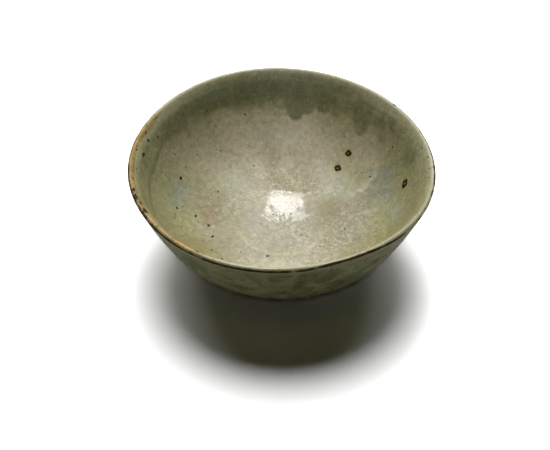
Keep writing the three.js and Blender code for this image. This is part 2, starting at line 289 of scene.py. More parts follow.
def air_normals(walk, s, angle, relief=None):
    """The direction into the air, from how the skin runs on both ways."""
    ahead, aside = 0.12, 0.002
    run = surface(walk, s + ahead, angle, relief) - surface(walk, s - ahead, angle, relief)
    turn = surface(walk, s, angle + aside, relief) - surface(walk, s, angle - aside, relief)
    normal = np.cross(run, turn)
    return normal / np.maximum(np.linalg.norm(normal, axis=-1, keepdims=True), 1e-9)


rim = surface(upper, np.full(360, lip_top), np.radians(np.arange(360)))
print("rim height in mm:", round(rim[:, 2].min(), 2), "to", round(rim[:, 2].max(), 2))

# %% [markdown]
# ## From a pixel to a place on the glaze
#
# Specks, drips and stains are known by where the photograph shows them. A ray from the eye through
# the pixel meets the bowl, and the nearest point of the walk turns the hit into a length and an
# angle, which is how the rest of the lesson names places. So a detail always sits on the glaze.

# %% Finding a place by its pixel
PROBE_COLUMNS = 180
probe_s = np.arange(0.5, upper.length, 1.0)
probe_angle = np.radians(np.arange(PROBE_COLUMNS) * 360 / PROBE_COLUMNS)
probe_grid = surface(upper, probe_s[:, None], probe_angle[None, :])
probe_faces = [
    (
        i * PROBE_COLUMNS + j,
        (i + 1) * PROBE_COLUMNS + j,
        (i + 1) * PROBE_COLUMNS + (j + 1) % PROBE_COLUMNS,
        i * PROBE_COLUMNS + (j + 1) % PROBE_COLUMNS,
    )
    for i in range(len(probe_s) - 1)
    for j in range(PROBE_COLUMNS)
]
probe_tree = BVHTree.FromPolygons((probe_grid.reshape(-1, 3) * MM).tolist(), probe_faces)


def on_glaze(x, y):
    """The length along the walk and the angle round the bowl of what a pixel shows."""
    hit, _, face, _ = probe_tree.ray_cast(EYE, pixel_ray(x, y))
    if hit is None:
        raise ValueError(f"no glaze at pixel {x}, {y}")
    place = np.array(hit) / MM
    around = face % PROBE_COLUMNS
    s = probe_s[face // PROBE_COLUMNS] + np.arange(-2, 3, 0.02)
    angle = probe_angle[around] + np.radians(np.arange(-3, 5, 0.1))
    near = surface(upper, s[:, None], angle[None, :])
    i, j = np.unravel_index(np.argmin(((near - place) ** 2).sum(-1)), near.shape[:2])
    return s[i], angle[j]


for pixel in ((282, 206), (348, 153), (150, 180)):
    s, angle = on_glaze(*pixel)
    print(pixel, "is", round(s, 1), "mm along at", round(math.degrees(angle)), "degrees")

# %% [markdown]
# ## Smooth chance
#
# Nothing on a fired bowl is even, and nothing on it jumps. A sum of a dozen waves with seeded
# directions gives a smooth, never repeating unevenness that is the same in every run. Blender's
# noise textures would do it in a material, but here it has to move the mesh itself.

# %% Helpers for soft shapes
def smooth(low, high, value):
    """Zero up to low, one from high on, and a soft slope between."""
    share = np.clip((value - low) / (high - low), 0, 1)
    return share * share * (3 - 2 * share)


class Ripples:
    """Seeded waves over the bowl, about -1 to 1, no shorter than the given sizes."""

    def __init__(self, seed, turns, length, count=14):
        chance = np.random.default_rng(seed)
        self.turns = chance.integers(-turns, turns + 1, count)
        self.rates = chance.uniform(-1, 1, count) * 2 * math.pi / length
        self.starts = chance.uniform(0, 2 * math.pi, count)

    def __call__(self, s, angle):
        total = 0
        for turn, rate, start in zip(self.turns, self.rates, self.starts):
            total = total + np.cos(turn * angle + rate * s + start)
        return total / math.sqrt(2 * len(self.turns))


broad = Ripples(3, 5, 45)
lumps = Ripples(5, 16, 14)
fine_lumps = Ripples(11, 60, 6, 22)
flicker = Ripples(17, 90, 5, 26)
dimples = Ripples(23, 18, 7, 18)


def arc_gap(angle, other):
    """The turn from one angle to another, from -pi to pi."""
    return (angle - other + math.pi) % (2 * math.pi) - math.pi


def blob(s, angle, spot, length, width):
    """A soft oval round a spot, with its reach along the walk and round the bowl in mm."""
    radius = np.maximum(upper.at(s)[0], 1)
    along_it = (s - spot[0]) / length
    round_it = arc_gap(angle, spot[1]) * radius / width
    return np.exp(-(along_it**2 + round_it**2))


print("a broad ripple:", round(float(broad(10.0, 1.0)), 3))

# %% [markdown]
# ## Where the glaze ran, pooled and burnt
#
# These are the places that give this bowl its face. Green tongues of thick glaze hang from the
# upper back wall, bluish pools lie low on both sides, warm patches show the iron in the clay, and
# milky, dull and shaded clouds lie between them: the milky ones are partly milky glaze and partly
# painted light on the walls, and the shaded ones are painted shade. Each place is the pixel at its
# middle, with its reach round the bowl and its reach up the wall in millimetres, and its strength.
# A tongue has the pixel of its tip, its width and its strength.

# %% Named places, by their pixels
TONGUES = [(212, 106, 8, 0.7), (243, 101, 11, 1.0), (295, 121, 9, 1.0), (322, 114, 10, 0.9),
           (357, 136, 11, 0.65), (379, 146, 8, 0.45), (182, 131, 8, 0.55), (403, 167, 9, 0.45),
           (268, 98, 7, 0.6), (162, 146, 6, 0.45), (334, 118, 5, 0.5), (306, 116, 8, 0.8)]
COOL_POOLS = [(381, 190, 10, 12, 0.9), (182, 193, 12, 8, 0.9), (168, 205, 12, 6, 0.4),
              (382, 178, 12, 8, 0.9), (367, 195, 9, 10, 0.8), (396, 213, 10, 7, 0.8),
              (333, 142, 9, 8, 0.35)]
WARM_PATCHES = [(211, 216, 15, 6, 1.05), (204, 190, 8, 5, 0.4), (198, 122, 6, 6, 0.45),
                (192, 146, 6, 7, 0.35), (394, 123, 6, 5, 0.5), (338, 97, 6, 3, 0.5),
                (242, 92, 5, 4, 0.5)]
# Milky places: partly milky glaze and partly painted light on the walls.
MILKY_AND_PAINTED_LIGHT = [(292, 150, 20, 30, 1.0), (252, 138, 16, 18, 0.7), (325, 150, 16, 14, 0.6),
         (240, 165, 12, 12, 0.4), (300, 128, 10, 26, 0.6), (212, 150, 14, 14, 0.7),
         (366, 148, 15, 13, 0.75), (366, 118, 8, 12, 0.5), (384, 132, 8, 8, 0.5),
         (198, 168, 8, 10, 0.4), (186, 148, 12, 12, 0.6), (230, 128, 8, 14, 0.5),
         (366, 161, 8, 8, 0.6), (215, 163, 9, 9, 0.6), (170, 152, 10, 8, 0.4),
         (334, 181, 10, 16, 0.4)]
DULL = [(344, 209, 13, 24, 1.4), (208, 213, 9, 14, 1.1), (214, 197, 10, 13, 1.0),
        (292, 181, 3.5, 20, 1.0), (312, 187, 6, 10, 0.9), (250, 178, 5, 10, 0.6),
        (325, 236, 8, 10, 0.7), (275, 172, 8, 26, 0.7), (245, 90, 4, 12, 0.5),
        (276, 84, 3, 14, 0.6), (303, 176, 7, 14, 0.9), (275, 176, 6, 22, 0.5)]
# The shaded places are painted shade: darker glaze under the back lip and on the floor.
SHADED = [(264, 88, 20, 5, 0.9), (310, 77, 14, 3, 0.9), (336, 182, 17, 9, 0.65),
          (238, 186, 12, 7, 0.35), (356, 226, 14, 9, 0.4)]
IRON_PATCHES = [(133.5, 189, 2.2, 0.9, 1.0), (136, 196.5, 3.0, 0.8, 1.0),
                (140.6, 203, 1.6, 0.7, 0.8), (145.6, 211, 2.6, 1.1, 1.0),
                (158, 226.5, 2.4, 0.8, 0.6), (146, 133, 1.2, 1.0, 1.0),
                (132, 178.5, 0.8, 0.7, 0.8), (137, 149.5, 0.8, 0.6, 0.7),
                (200, 85.5, 2.2, 0.8, 0.6), (171, 102, 1.2, 0.7, 0.5),
                (394.5, 105, 1.6, 0.8, 0.5), (417, 212, 3.0, 0.8, 0.8),
                (134, 166, 0.7, 0.6, 0.6), (133.5, 183, 0.8, 0.6, 0.8),
                (197, 251.5, 2.6, 0.8, 0.9)]
WINDOW_PATCH = (286, 203)
BEIGE_PATCH = (372, 222)


def placed(places):
    """The places with each pixel turned into a length along the walk and an angle."""
    return [(on_glaze(x, y), *rest) for x, y, *rest in places]


tongues, cool_pools, warm_patches = placed(TONGUES), placed(COOL_POOLS), placed(WARM_PATCHES)
milky, dull, shaded = placed(MILKY_AND_PAINTED_LIGHT), placed(DULL), placed(SHADED)
iron_patches = placed(IRON_PATCHES)
window_place, beige_place = on_glaze(*WINDOW_PATCH), on_glaze(*BEIGE_PATCH)
print("tongues hang to", [round(upper.at(place[0])[1]) for place, _, _ in tongues], "mm high")

# %% [markdown]
# ## Pours and blisters
#
# A curved edge on the right shows where a second pour of glaze stopped, and a fainter line lies
# below it. Each is a row of pixels, filled in between, and a place on the glaze asks how near the
# line is. The three blisters have their size and their stretch up the wall with their pixel.

# %% Lines and craters, by their pixels
POUR_EDGE = [(373, 161), (377, 168), (375, 176), (368, 183), (360, 190), (351, 194), (344, 198)]
POUR_LINE = [(345, 218), (353, 215), (361, 213), (368, 212), (377, 209), (389, 205)]
BLISTERS = {"upper": (348.3, 153.3, 1.85, 1.05), "lower": (337.8, 168.3, 2.0, 1.05),
            "right": (404.8, 183.3, 2.3, 1.25)}
FAR_AWAY = 1e9

blisters = {name: (on_glaze(x, y), *rest) for name, (x, y, *rest) in BLISTERS.items()}


def chain(pixels):
    """The places of a line of pixels, filled in between."""
    places = np.array([on_glaze(x, y) for x, y in pixels])
    share = np.linspace(0, len(places) - 1, 6 * len(places))
    return [np.interp(share, np.arange(len(places)), column) for column in places.T]


def beside(line, s, angle, width):
    """One on a line of places, fading over a width in mm."""
    radius = np.maximum(upper.at(s)[0], 1)
    nearest = np.full(np.broadcast(s, angle).shape, FAR_AWAY)
    for line_s, line_angle in zip(*line):
        gap = (s - line_s) ** 2 + (arc_gap(angle, line_angle) * radius) ** 2
        nearest = np.minimum(nearest, gap)
    return np.exp(-nearest / width**2)


pour_edge, pour_line = chain(POUR_EDGE), chain(POUR_LINE)
print("places on the edge of the pour:", len(pour_edge[0]))

# %% [markdown]
# ## Tongues and the fold under the lip
#
# Thick glaze slides down while it melts and freezes in rounded tongues: narrow at the tip, wider
# above, and soft at the sides. Under the lip the wall has a soft fold where the potter turned it
# outwards, and glaze lies thick in it; its dark colour there is also painted shade. Both are worked
# out for any place on the glaze, so that the relief and the colours can ask for the same shape.

# %% Shapes that the relief and the colours share
def tongue(s, angle):
    """Thick glaze that hangs down the upper wall in rounded tongues."""
    radius = np.maximum(upper.at(s)[0], 1)
    deepest = 0
    for (tip_s, tip_angle), width, depth in tongues:
        above = s - tip_s
        rise = np.clip((above + 1) / (1.6 * width), 0, 1)
        half = width * (0.45 * np.sqrt(1 - (1 - rise) ** 2) + 0.55 * rise)
        across = np.abs(arc_gap(angle, tip_angle)) * radius
        inside = smooth(1.4, 0.5, across / np.maximum(half, 0.01)) * smooth(-1.2, 2.5, above)
        deepest = np.maximum(deepest, depth * inside)
    return deepest


def crease(s, angle):
    """The soft fold under the lip, clear on the left and faint elsewhere."""
    turn = np.degrees(angle) % 360
    on_left = smooth(-0.3, 0.7, np.cos(arc_gap(angle, math.pi)))
    fold_s = upper.ends["wall"] + 1 - 5.8 * smooth(146, 170, turn) * smooth(240, 205, turn)
    return np.exp(-(((s - fold_s) / (3.2 - 0.8 * on_left)) ** 2)) * (0.15 + 0.85 * on_left)


def spread(places, s, angle):
    """The soft ovals of a list of places, added up."""
    return sum(
        strength * blob(s, angle, place, length, width)
        for place, width, length, strength in places
    )


middle_of_tongue = tongue(tongues[1][0][0] + 8, tongues[1][0][1])
print("the widest tongue, 8 mm above its tip:", round(float(middle_of_tongue), 2))

# %% [markdown]
# ## Relief of the glaze
#
# The relief is what a fingertip would feel: faint ridges from the potter's fingers climbing in a
# spiral, broad unevenness of the wall, tongues and the edge of the pour standing a little proud,
# hollows where the iron boiled, and turning lines on the outside. It is mostly a tenth of a
# millimetre, and nearly half in the pits of the blisters, but a glossy surface shows every bit.

# %% Relief in millimetres
RIDGE_SPACING = 7.4
TURNING_LINES = [(282, 283, 0.09), (282, 287.5, 0.07), (282, 291, 0.07), (282, 277, 0.05)]
turning_lines = [(on_glaze(x, y)[0], depth) for x, y, depth in TURNING_LINES]


def relief(s, angle):
    """How far the glaze stands out from the plain section."""
    radius = upper.at(s)[0]
    off_axis = smooth(0, 14, radius)
    inside = smooth(upper.ends["step"], upper.ends["step"] + 8, s) * smooth(lip_top, lip_top - 9, s)
    outside = smooth(lip_top + 4, lip_top + 12, s)
    ridges = np.sin(2 * math.pi * s / RIDGE_SPACING + angle) * (0.6 + 0.4 * broad(s, angle))
    out = off_axis * (0.07 * broad(s, angle) + 0.025 * lumps(s, angle))
    out = out + off_axis * 0.012 * fine_lumps(s, angle)
    near_window = blob(s, angle, window_place, 22, 22) * smooth(0, 8, radius)
    out = out + 0.028 * dimples(s, angle) * near_window
    out = out + 0.03 * ridges * inside + 0.045 * ridges * outside
    out = out + 0.14 * tongue(s, angle) * smooth(lip_top - 4, lip_top - 10, s)
    out = out + 0.1 * beside(pour_edge, s, angle, 1.6) + 0.04 * beside(pour_line, s, angle, 1.6)
    out = out - 0.06 * crease(s, angle)
    for place, size, long in blisters.values():
        ring = blob(s, angle, place, 1.7 * size * long, 1.7 * size)
        out = out + 0.08 * ring - 0.42 * blob(s, angle, place, 0.9 * size * long, 0.9 * size)
    for line_s, depth in turning_lines:
        gap = s - line_s - 0.7 * broad(line_s, angle)
        out = out - depth * (0.6 + 0.4 * lumps(line_s, angle)) * np.exp(-((gap / 0.45) ** 2))
    return out


around = np.radians(np.arange(0, 360, 3))[None, :]
felt = relief(np.arange(1, upper.length, 1.0)[:, None], around)
print("relief in mm:", round(felt.min(), 2), "to", round(felt.max(), 2))

# %% [markdown]
# ## Masks for the material
#
# A mask is a number from 0 to 1 at every corner of the mesh, which the material reads by name. They
# are worked out from the same places as the relief, so colour and shape agree: thick glaze is both
# proud and green. Painting them in a picture would need an image file and a way to wrap it. First
# come the measures that several masks ask for, and the thick glaze, whose dark green is also
# painted shade at the top of the back wall, under the lip there and in the fold. Past is the way
# along the walk from the top of the lip: below zero inside, above zero outside.

# %% Whereabouts, and thick glaze
lip_outer_s = upper.ends["bead"]


class Whereabouts:
    """What several masks ask about a place on the glaze."""

    def __init__(self, s, angle):
        self.turn = np.degrees(angle) % 360
        self.left = smooth(136, 166, self.turn) * smooth(262, 222, self.turn)
        self.front = smooth(200, 235, self.turn) * smooth(350, 322, self.turn)
        self.right = smooth(0.0, 0.5, np.cos(angle)) * smooth(-0.1, -0.5, np.sin(angle))
        self.back = np.maximum(0, np.cos(arc_gap(angle, math.radians(90))))
        self.near_eye = np.cos(arc_gap(angle, math.radians(-92)))
        self.inner = smooth(lip_top + 0.5, lip_top - 1, s)
        self.past = s - lip_top


def thick_glaze_and_shade(s, angle, at):
    """Tongues of thick glaze, and dark glaze at the top of the back wall, in a band under the lip
    there and in the fold, which is partly painted shade.
    """
    level = upper.at(s)[1] + 3 * broad(s, angle) + 2 * lumps(s, angle)
    aside = 9 * (1 - at.back)
    leftward = smooth(0.3, -0.3, np.cos(angle))
    high = smooth(33 + aside, 53 + 0.4 * aside, level) * (0.1 + 0.9 * at.back)
    high = np.maximum(high * (0.65 + 0.35 * leftward), 0.5 * leftward * smooth(46, 55, level))
    hanging = np.maximum(tongue(s, angle), high) * smooth(-4.0, -8.5, at.past)
    # Painted shade, with thick glaze: a dark band under the lip, at the back only.
    thick_and_shade_band = smooth(0.5, 0.95, at.back) * smooth(-13, -7, at.past) * smooth(-0.5, -5, at.past)
    return np.maximum(np.maximum(hanging, 0.6 * thick_and_shade_band), 0.62 * crease(s, angle))


def where_inside(s):
    """Whereabouts of a ring inside the bowl, to print what a mask covers there."""
    return s, around, Whereabouts(s, around)


print("thick glaze 10 mm below the lip:", round(thick_glaze_and_shade(*where_inside(lip_top - 10)).mean(), 2))

# %% [markdown]
# ## Clouds of tone
#
# Between the runs the glaze changes tone slowly, as its thickness and the fire did, and part of
# the change is painted light and shade. The wall is fresh green on both sides and sandy towards
# the front. Cream on the front wall, which faces the lamps behind, and on the front of the well's
# step is painted light. A ring above the well's step, away from the back, is darker with painted
# shade. The listed places lie over that. Each cloud is only a soft number here: the colours come
# later, in the material, where they are easy to change.

# %% Clouds on the inside
CLOUD_PLACES = {"cool": cool_pools, "warm": warm_patches, "milky": milky, "dull": dull}


def cloud_masks(s, angle, at):
    """Slow changes of tone on the inside, with painted light and painted shade among them."""
    found = {name: at.inner * spread(places, s, angle) for name, places in CLOUD_PLACES.items()}
    fresh = smooth(0.1, 0.75, np.abs(np.cos(angle))) * smooth(36, 52, s) * at.inner
    fresh = fresh * smooth(0.45, -0.05, -np.sin(angle))
    found["fresh"] = fresh * (1 - 0.8 * blob(s, angle, beige_place, 16, 18))
    pours = 0.75 * beside(pour_edge, s, angle, 2.4) + 0.35 * beside(pour_line, s, angle, 1.6)
    # Painted light: cream on the front wall, which faces the lamps behind.
    creamy = np.maximum(0, at.near_eye) ** 6 * smooth(27, 36, s) * at.inner
    ring_gap = s - (upper.ends["well"] + upper.ends["step"]) / 2
    # Painted light: cream on the front of the well's step, the side that faces the lamps.
    painted_light_on_step = np.exp(-((ring_gap / 1.3) ** 2)) * smooth(0.0, 0.8, at.near_eye)
    found["cream"] = 0.6 * pours + 0.8 * creamy + 0.7 * painted_light_on_step
    found["sandy"] = smooth(-0.35, 0.5, at.near_eye) * smooth(22, 38, s) * at.inner
    found["pool"] = smooth(upper.ends["well"] + 0.6, upper.ends["well"] - 0.8, s)
    found["low"] = smooth(62, 30, s)
    # Painted shade: a darker ring above the well's step, away from the back.
    shade_above_step = 0.23 * smooth(25, 31, s) * smooth(60, 44, s) * (1 - 0.85 * at.back)
    found["hollow"] = shade_above_step + at.inner * spread(shaded, s, angle)
    return found


print("clouds:", ", ".join(sorted(cloud_masks(*where_inside(40.0)))))

# %% [markdown]
# ## Lip and iron
#
# Glaze runs off a lip and burns thin there: pale just inside it, ochre over the top, and iron-brown
# in a ragged line along its outer side, with the worst patches listed by their pixels. Use and the
# fire have polished the top. A pattern asked for at 0 * s varies round the bowl only, so the edges
# wander round the lip without speckling across it.

# %% Masks of the lip and of iron
def lip_masks(s, angle, at):
    """Pale, burnt and polished parts of the lip."""
    bare = np.maximum(smooth(0.6, 0.97, at.back), at.right)
    pale = smooth(-5.5, -3.0, at.past) * smooth(1.4, 0.6, at.past) * (1 - 0.7 * bare)
    under_lip = smooth(2.2, 3.2, at.past) * smooth(7.5, 4.5, at.past)
    reach_in = 1.9 + 0.8 * at.left + 0.9 * lumps(0 * s, angle)
    reach_out = 1.8 + 0.6 * flicker(0 * s, angle)
    burnt = smooth(-reach_in - 1.2, -reach_in, at.past)
    burnt = burnt * smooth(reach_out + 1.4, reach_out, at.past)
    polished = np.exp(-(((at.past + 0.3) / 1.3) ** 2)) * smooth(-0.6, 0.7, lumps(s, angle))
    return {
        "pale": np.maximum(pale, under_lip),
        "burnt": burnt * (0.25 + 0.75 * at.left),
        "polished": polished * (1 - 0.7 * at.right),
    }


def iron_masks(s, angle, at):
    """Iron-brown along the lip and in patches, and the stain round each blister."""
    climb = 0.35 + 1.3 * smooth(276, 290, at.turn) * smooth(318, 298, at.turn)
    edge = np.exp(-(((s - lip_outer_s + climb) / (0.7 + 0.25 * flicker(0 * s, angle))) ** 2))
    ragged = smooth(-0.7, 0.5, fine_lumps(0 * s, angle) + 0.6 * lumps(0 * s, angle))
    iron = edge * (0.9 * at.front + 0.75 * at.left + 0.15) * (0.3 + 0.7 * ragged)
    for place, width, length, depth in iron_patches:
        patch = depth * blob(s, angle, place, length, width) * (0.75 + 0.5 * flicker(s, angle))
        iron = np.maximum(iron, patch)
    outline = np.exp(-(((at.past - 1.2) / 0.8) ** 2)) * (0.5 + 0.2 * flicker(0 * s, angle))
    halo = sum(
        blob(s, angle, place, 2.1 * size * long, 2.1 * size)
        for place, size, long in blisters.values()
    )
    return {"iron": np.maximum(iron, outline * (1 - at.front)), "halo": halo}


def masks(s, angle):
    """Everything that the glaze's material varies with, by name."""
    at = Whereabouts(s, angle)
    shine = blob(s, angle, window_place, 16, 16) + 0.22 * dimples(s, angle)
    uneven = 0.5 + 0.5 * lumps(s, angle)
    found = {
        # Thick glaze, partly painted shade at the back wall's top, under the back lip and in the
        # fold.
        "thick": thick_glaze_and_shade(s, angle, at),
        "gloss": smooth(0.2, 0.95, shine + 0.1 * fine_lumps(s, angle)) * smooth(31.5, 27, s),
        "outside": (1 - at.inner) * smooth(1.5, 4.5, at.past) * (0.9 + 0.1 * uneven),
        **cloud_masks(s, angle, at),
        **lip_masks(s, angle, at),
        **iron_masks(s, angle, at),
    }
    return {name: np.clip(value + 0 * s + 0 * angle, 0, 1) for name, value in found.items()}


sample = masks(np.arange(0, upper.length, 0.5)[:, None], around)
for name, value in sample.items():
    print(f"mask {name:8s} covers {value.mean():.2f}")

# %% [markdown]
# ## Skins from rings
#
# A coat of glaze is a closed solid: a front that is seen, a back against the clay, and two ends. It
# is built ring by ring. Rings near the axis need fewer corners than rings at the rim, and the
# hidden back needs fewer than the front, so the bridge between two rings allows a whole number of
# corners of one ring for each corner of the other. The front's normals come from the smooth surface
# and not from the faces, so that two coats that meet shade as one.

# %% Rings and the faces between them
ON_AXIS = 0.05


def circle(count):
    """Even angles round a ring."""
    return 2 * math.pi * np.arange(count) / count


class Skin:
    """Rings of corners, bridged into a closed surface."""

    def __init__(self):
        self.places, self.normals, self.lengths, self.angles = [], [], [], []
        self.faces, self.count, self.last, self.first = [], 0, None, None

    def ring(self, places, normals=None, s=0.0, angle=None):
        """Adds a ring, bridged to the one before."""
        count = len(places)
        new = list(range(self.count, self.count + count))
        self.places.append(places)
        self.normals.append(np.zeros((count, 3)) if normals is None else normals)
        self.lengths.append(np.full(count, s, float))
        self.angles.append(np.zeros(count) if angle is None else angle)
        self.count += count
        if self.last is None:
            self.first = new
        else:
            self.bridge(self.last, new)
        self.last = new

    def bridge(self, a, b):
        """Faces between two rings, or between a ring and a point."""
        fewer, more = sorted((len(a), len(b)))
        if more == 1:
            return
        turns = fewer if fewer > 1 else more
        for j in range(turns):
            side_a = self.part(a, j, turns)
            side_b = self.part(b, j, turns)
            self.faces.append([side_a[0], *side_b, *reversed(side_a[1:])])

    @staticmethod
    def part(ring, j, turns):
        """The corners of a ring that one turn of the bridge meets."""
        if len(ring) == 1:
            return [ring[0]]
        step = len(ring) // turns
        return [ring[k % len(ring)] for k in range(j * step, (j + 1) * step + 1)]

    def close(self):
        """Bridges the last ring to the first."""
        self.bridge(self.last, self.first)

    def turn_over(self):
        """Turns every face round, where the rings were added the other way."""
        self.faces = [list(reversed(face)) for face in self.faces]

    def coat(self, walk, rows, columns, relief=None, sink=0.0, back=False):
        """Rings of one side of a coat. A ring on the axis is a single corner."""
        for row in rows:
            radius, _, _, air_up = walk.at(row)
            angle = circle(1 if radius < ON_AXIS else columns(radius))
            s = np.full(len(angle), row)
            depth = sink(row) if callable(sink) else sink
            if back:
                normals = None
            elif radius < ON_AXIS:
                normals = np.array([[0, 0, np.sign(air_up)]])
            else:
                normals = air_normals(walk, s, angle, relief)
            self.ring(surface(walk, s, angle, relief, depth), normals, row, angle)


test_skin = Skin()
test_skin.coat(upper, (0.0, 5.0, 10.0), lambda radius: 12)
print("three rings give", test_skin.count, "corners and", len(test_skin.faces), "faces")

# %% [markdown]
# ## From rings to a piece
#
# The rings become one mesh, with the masks written at its corners where the material needs them.
# Every piece rides on the bowl's one body and hides the CAD node that it stands for. Faces are
# smooth, because the whole bowl is.

# %% Building a piece
def write_mask(mesh, name, values):
    """Keeps a number for every corner of a mesh, for its material to read."""
    layer = mesh.attributes.new(name, "FLOAT", "POINT")
    layer.data.foreach_set("value", np.asarray(values, np.float32))


def build(skin, name, replaces, material, with_masks=False):
    """Makes the object of a skin, on the bowl's one body."""
    places = np.concatenate(skin.places) * MM
    mesh = bpy.data.meshes.new(name)
    mesh.from_pydata(places.tolist(), [], skin.faces)
    mesh.polygons.foreach_set("use_smooth", [True] * len(mesh.polygons))
    if with_masks:
        found = masks(np.concatenate(skin.lengths), np.concatenate(skin.angles))
        for mask, values in found.items():
            write_mask(mesh, mask, values)
    mesh.update()
    normals = np.concatenate(skin.normals)
    if np.abs(normals).max() > 0:
        mesh.normals_split_custom_set_from_vertices(normals.tolist())
    piece = bpy.data.objects.new(name, mesh)
    bpy.context.scene.collection.objects.link(piece)
    mesh.materials.append(material)
    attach(piece, "root")
    if replaces:
        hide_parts(*replaces)
    triangles = sum(len(face) - 2 for face in skin.faces)
    print(f"{name}: {len(places)} corners, {triangles} triangles")
    return piece


print("masks that a glazed piece carries:", len(sample))

# %% [markdown]
# ## Shader maths as expressions
#
# A node tree is easier to read as a formula. The first class wraps an output socket and adds a Math
# node for each operator, so that 1 - mask * 2 is written as it is meant. Colours are not numbers:
# they go through Mix nodes. Every other node comes from one method that takes its type, its
# settings, and the values or links of its sockets.

# %% A value in a formula
class Value:
    """An output socket that can be used in arithmetic."""

    def __init__(self, board, socket):
        self.board, self.socket = board, socket

    def maths(self, operation, *values):
        given = dict(enumerate(values))
        return self.board.node("ShaderNodeMath", {"operation": operation}, given)[0]

    def __add__(self, other):
        return self.maths("ADD", self, other)

    def __sub__(self, other):
        return self.maths("SUBTRACT", self, other)

    def __rsub__(self, other):
        return self.maths("SUBTRACT", other, self)

    def __mul__(self, other):
        return self.maths("MULTIPLY", self, other)

    __radd__ = __add__
    __rmul__ = __mul__

    def limited(self):
        """Held between 0 and 1."""
        return self.maths("MINIMUM", self.maths("MAXIMUM", self, 0.0), 1.0)

    def between(self, low, high):
        """A soft step from 0 at low to 1 at high."""
        settings = {"interpolation_type": "SMOOTHSTEP"}
        given = {"Value": self, "From Min": low, "From Max": high}
        return self.board.node("ShaderNodeMapRange", settings, given)[0]

    def frayed(self, pattern, amount):
        """The same, with its edges broken up by a pattern."""
        return self + (pattern - 0.5) * amount


class Node:
    """A node whose outputs are asked for by name or number."""

    def __init__(self, board, node):
        self.board, self.node = board, node

    def __getitem__(self, key):
        return Value(self.board, self.node.outputs[key])


print("words of a value:", [word for word in vars(Value) if not word.startswith("_")])

# %% [markdown]
# ## A board of nodes
#
# A board is one node tree. Its short words are the nodes that a fired surface needs again and
# again: cloudy noise, a patchwork of cells, a colour laid over another, a bump, and a mix of two
# shaders. Written out each time they would hide the recipe.

# %% The board
class Board:
    """A node tree with a short way to add nodes and link them."""

    def __init__(self, tree):
        self.tree = tree
        tree.nodes.clear()

    def node(self, kind, settings=None, given=None):
        """Adds a node of a type: first its settings, then the values or links of its sockets."""
        node = self.tree.nodes.new(kind)
        for name, value in (settings or {}).items():
            setattr(node, name, value)
        for key, value in (given or {}).items():
            if isinstance(value, Value):
                self.tree.links.new(value.socket, node.inputs[key])
            else:
                node.inputs[key].default_value = value
        return Node(self, node)

    def place(self):
        """Where a point lies on the bowl, in metres."""
        return self.node("ShaderNodeTexCoord")["Object"]

    def mask(self, name):
        """A mask that the mesh carries."""
        settings = {"attribute_type": "GEOMETRY", "attribute_name": name}
        return self.node("ShaderNodeAttribute", settings)["Fac"]

    def noise(self, place, scale, detail=3.0, roughness=0.5, distortion=0.0):
        """Cloudy chance whose lumps are about 1 / scale metres."""
        given = {"Vector": place, "Scale": scale, "Detail": detail, "Roughness": roughness,
                 "Distortion": distortion}
        return self.node("ShaderNodeTexNoise", None, given)[0]

    def cells(self, place, scale, feature="F1"):
        """A patchwork of cells about 1 / scale metres across."""
        given = {"Vector": place, "Scale": scale}
        return self.node("ShaderNodeTexVoronoi", {"feature": feature}, given)

    def chance(self, cells, channel):
        """A number from 0 to 1 that is the same all over a cell."""
        return self.node("ShaderNodeSeparateColor", None, {0: cells["Color"]})[channel]

    def tint(self, share, first, second):
        """The first colour where share is 0, and the second where it is 1."""
        settings = {"data_type": "RGBA"}
        return self.node("ShaderNodeMix", settings, {0: share, 6: first, 7: second})[2]

    def shade(self, colour, strength):
        """A colour made lighter or darker by a number."""
        given = {0: colour, "Scale": strength}
        return self.node("ShaderNodeVectorMath", {"operation": "SCALE"}, given)[0]

    def bump(self, height, strength, distance):
        """The direction of a surface that is dented by a height."""
        given = {"Strength": strength, "Distance": distance, "Height": height}
        return self.node("ShaderNodeBump", None, given)["Normal"]

    def solid(self, **given):
        """The shader of a solid surface."""
        named = {key.replace("_", " "): value for key, value in given.items()}
        return self.node("ShaderNodeBsdfPrincipled", None, named)["BSDF"]

    def mix(self, share, first, second):
        """The first shader where share is 0, and the second where it is 1."""
        return self.node("ShaderNodeMixShader", None, {0: share, 1: first, 2: second})[0]

    def finish(self, shader, output="ShaderNodeOutputMaterial"):
        """Joins a shader to the output."""
        self.node(output, None, {"Surface": shader})


def colour(red, green, blue):
    """A colour as it is read off a screen, 0 to 255, as the light that a shader works with."""
    def light(value):
        share = value / 255
        return share / 12.92 if share <= 0.04045 else ((share + 0.055) / 1.055) ** 2.4

    return (light(red), light(green), light(blue), 1.0)


def new_material(name):
    """An empty material and the board for its nodes."""
    material = bpy.data.materials.new(name)
    material.use_nodes = True
    return material, Board(material.node_tree)


print("celadon as light:", [round(part, 3) for part in colour(163, 158, 131)[:3]])

# %% [markdown]
# ## The glaze: ground colours
#
# Celadon is a clear glass with a little iron in it: grey-green where it is thick, beige where the
# clay shows through. All the coats share one material, so that they run into each other. Five
# noises from wide to fine give the slow changes and the mottling, and the masks say what happened
# where and where light and shade are painted. One colour after another is laid over the tone, as a
# potter lays slips over each other.

# %% The ground of the glaze
glaze, board = new_material("celadon_glaze")
place = board.place()
clouds = board.noise(place, 26, 3, 0.5, 0.4)
drifts = board.noise(place, 48, 3, 0.5, 0.8)
blotches = board.noise(place, 95, 4, 0.55, 0.6)
mottle = board.noise(place, 310, 4, 0.6)
grain = board.noise(place, 640, 3, 0.6)
mask = {name: board.mask(name) for name in sample}

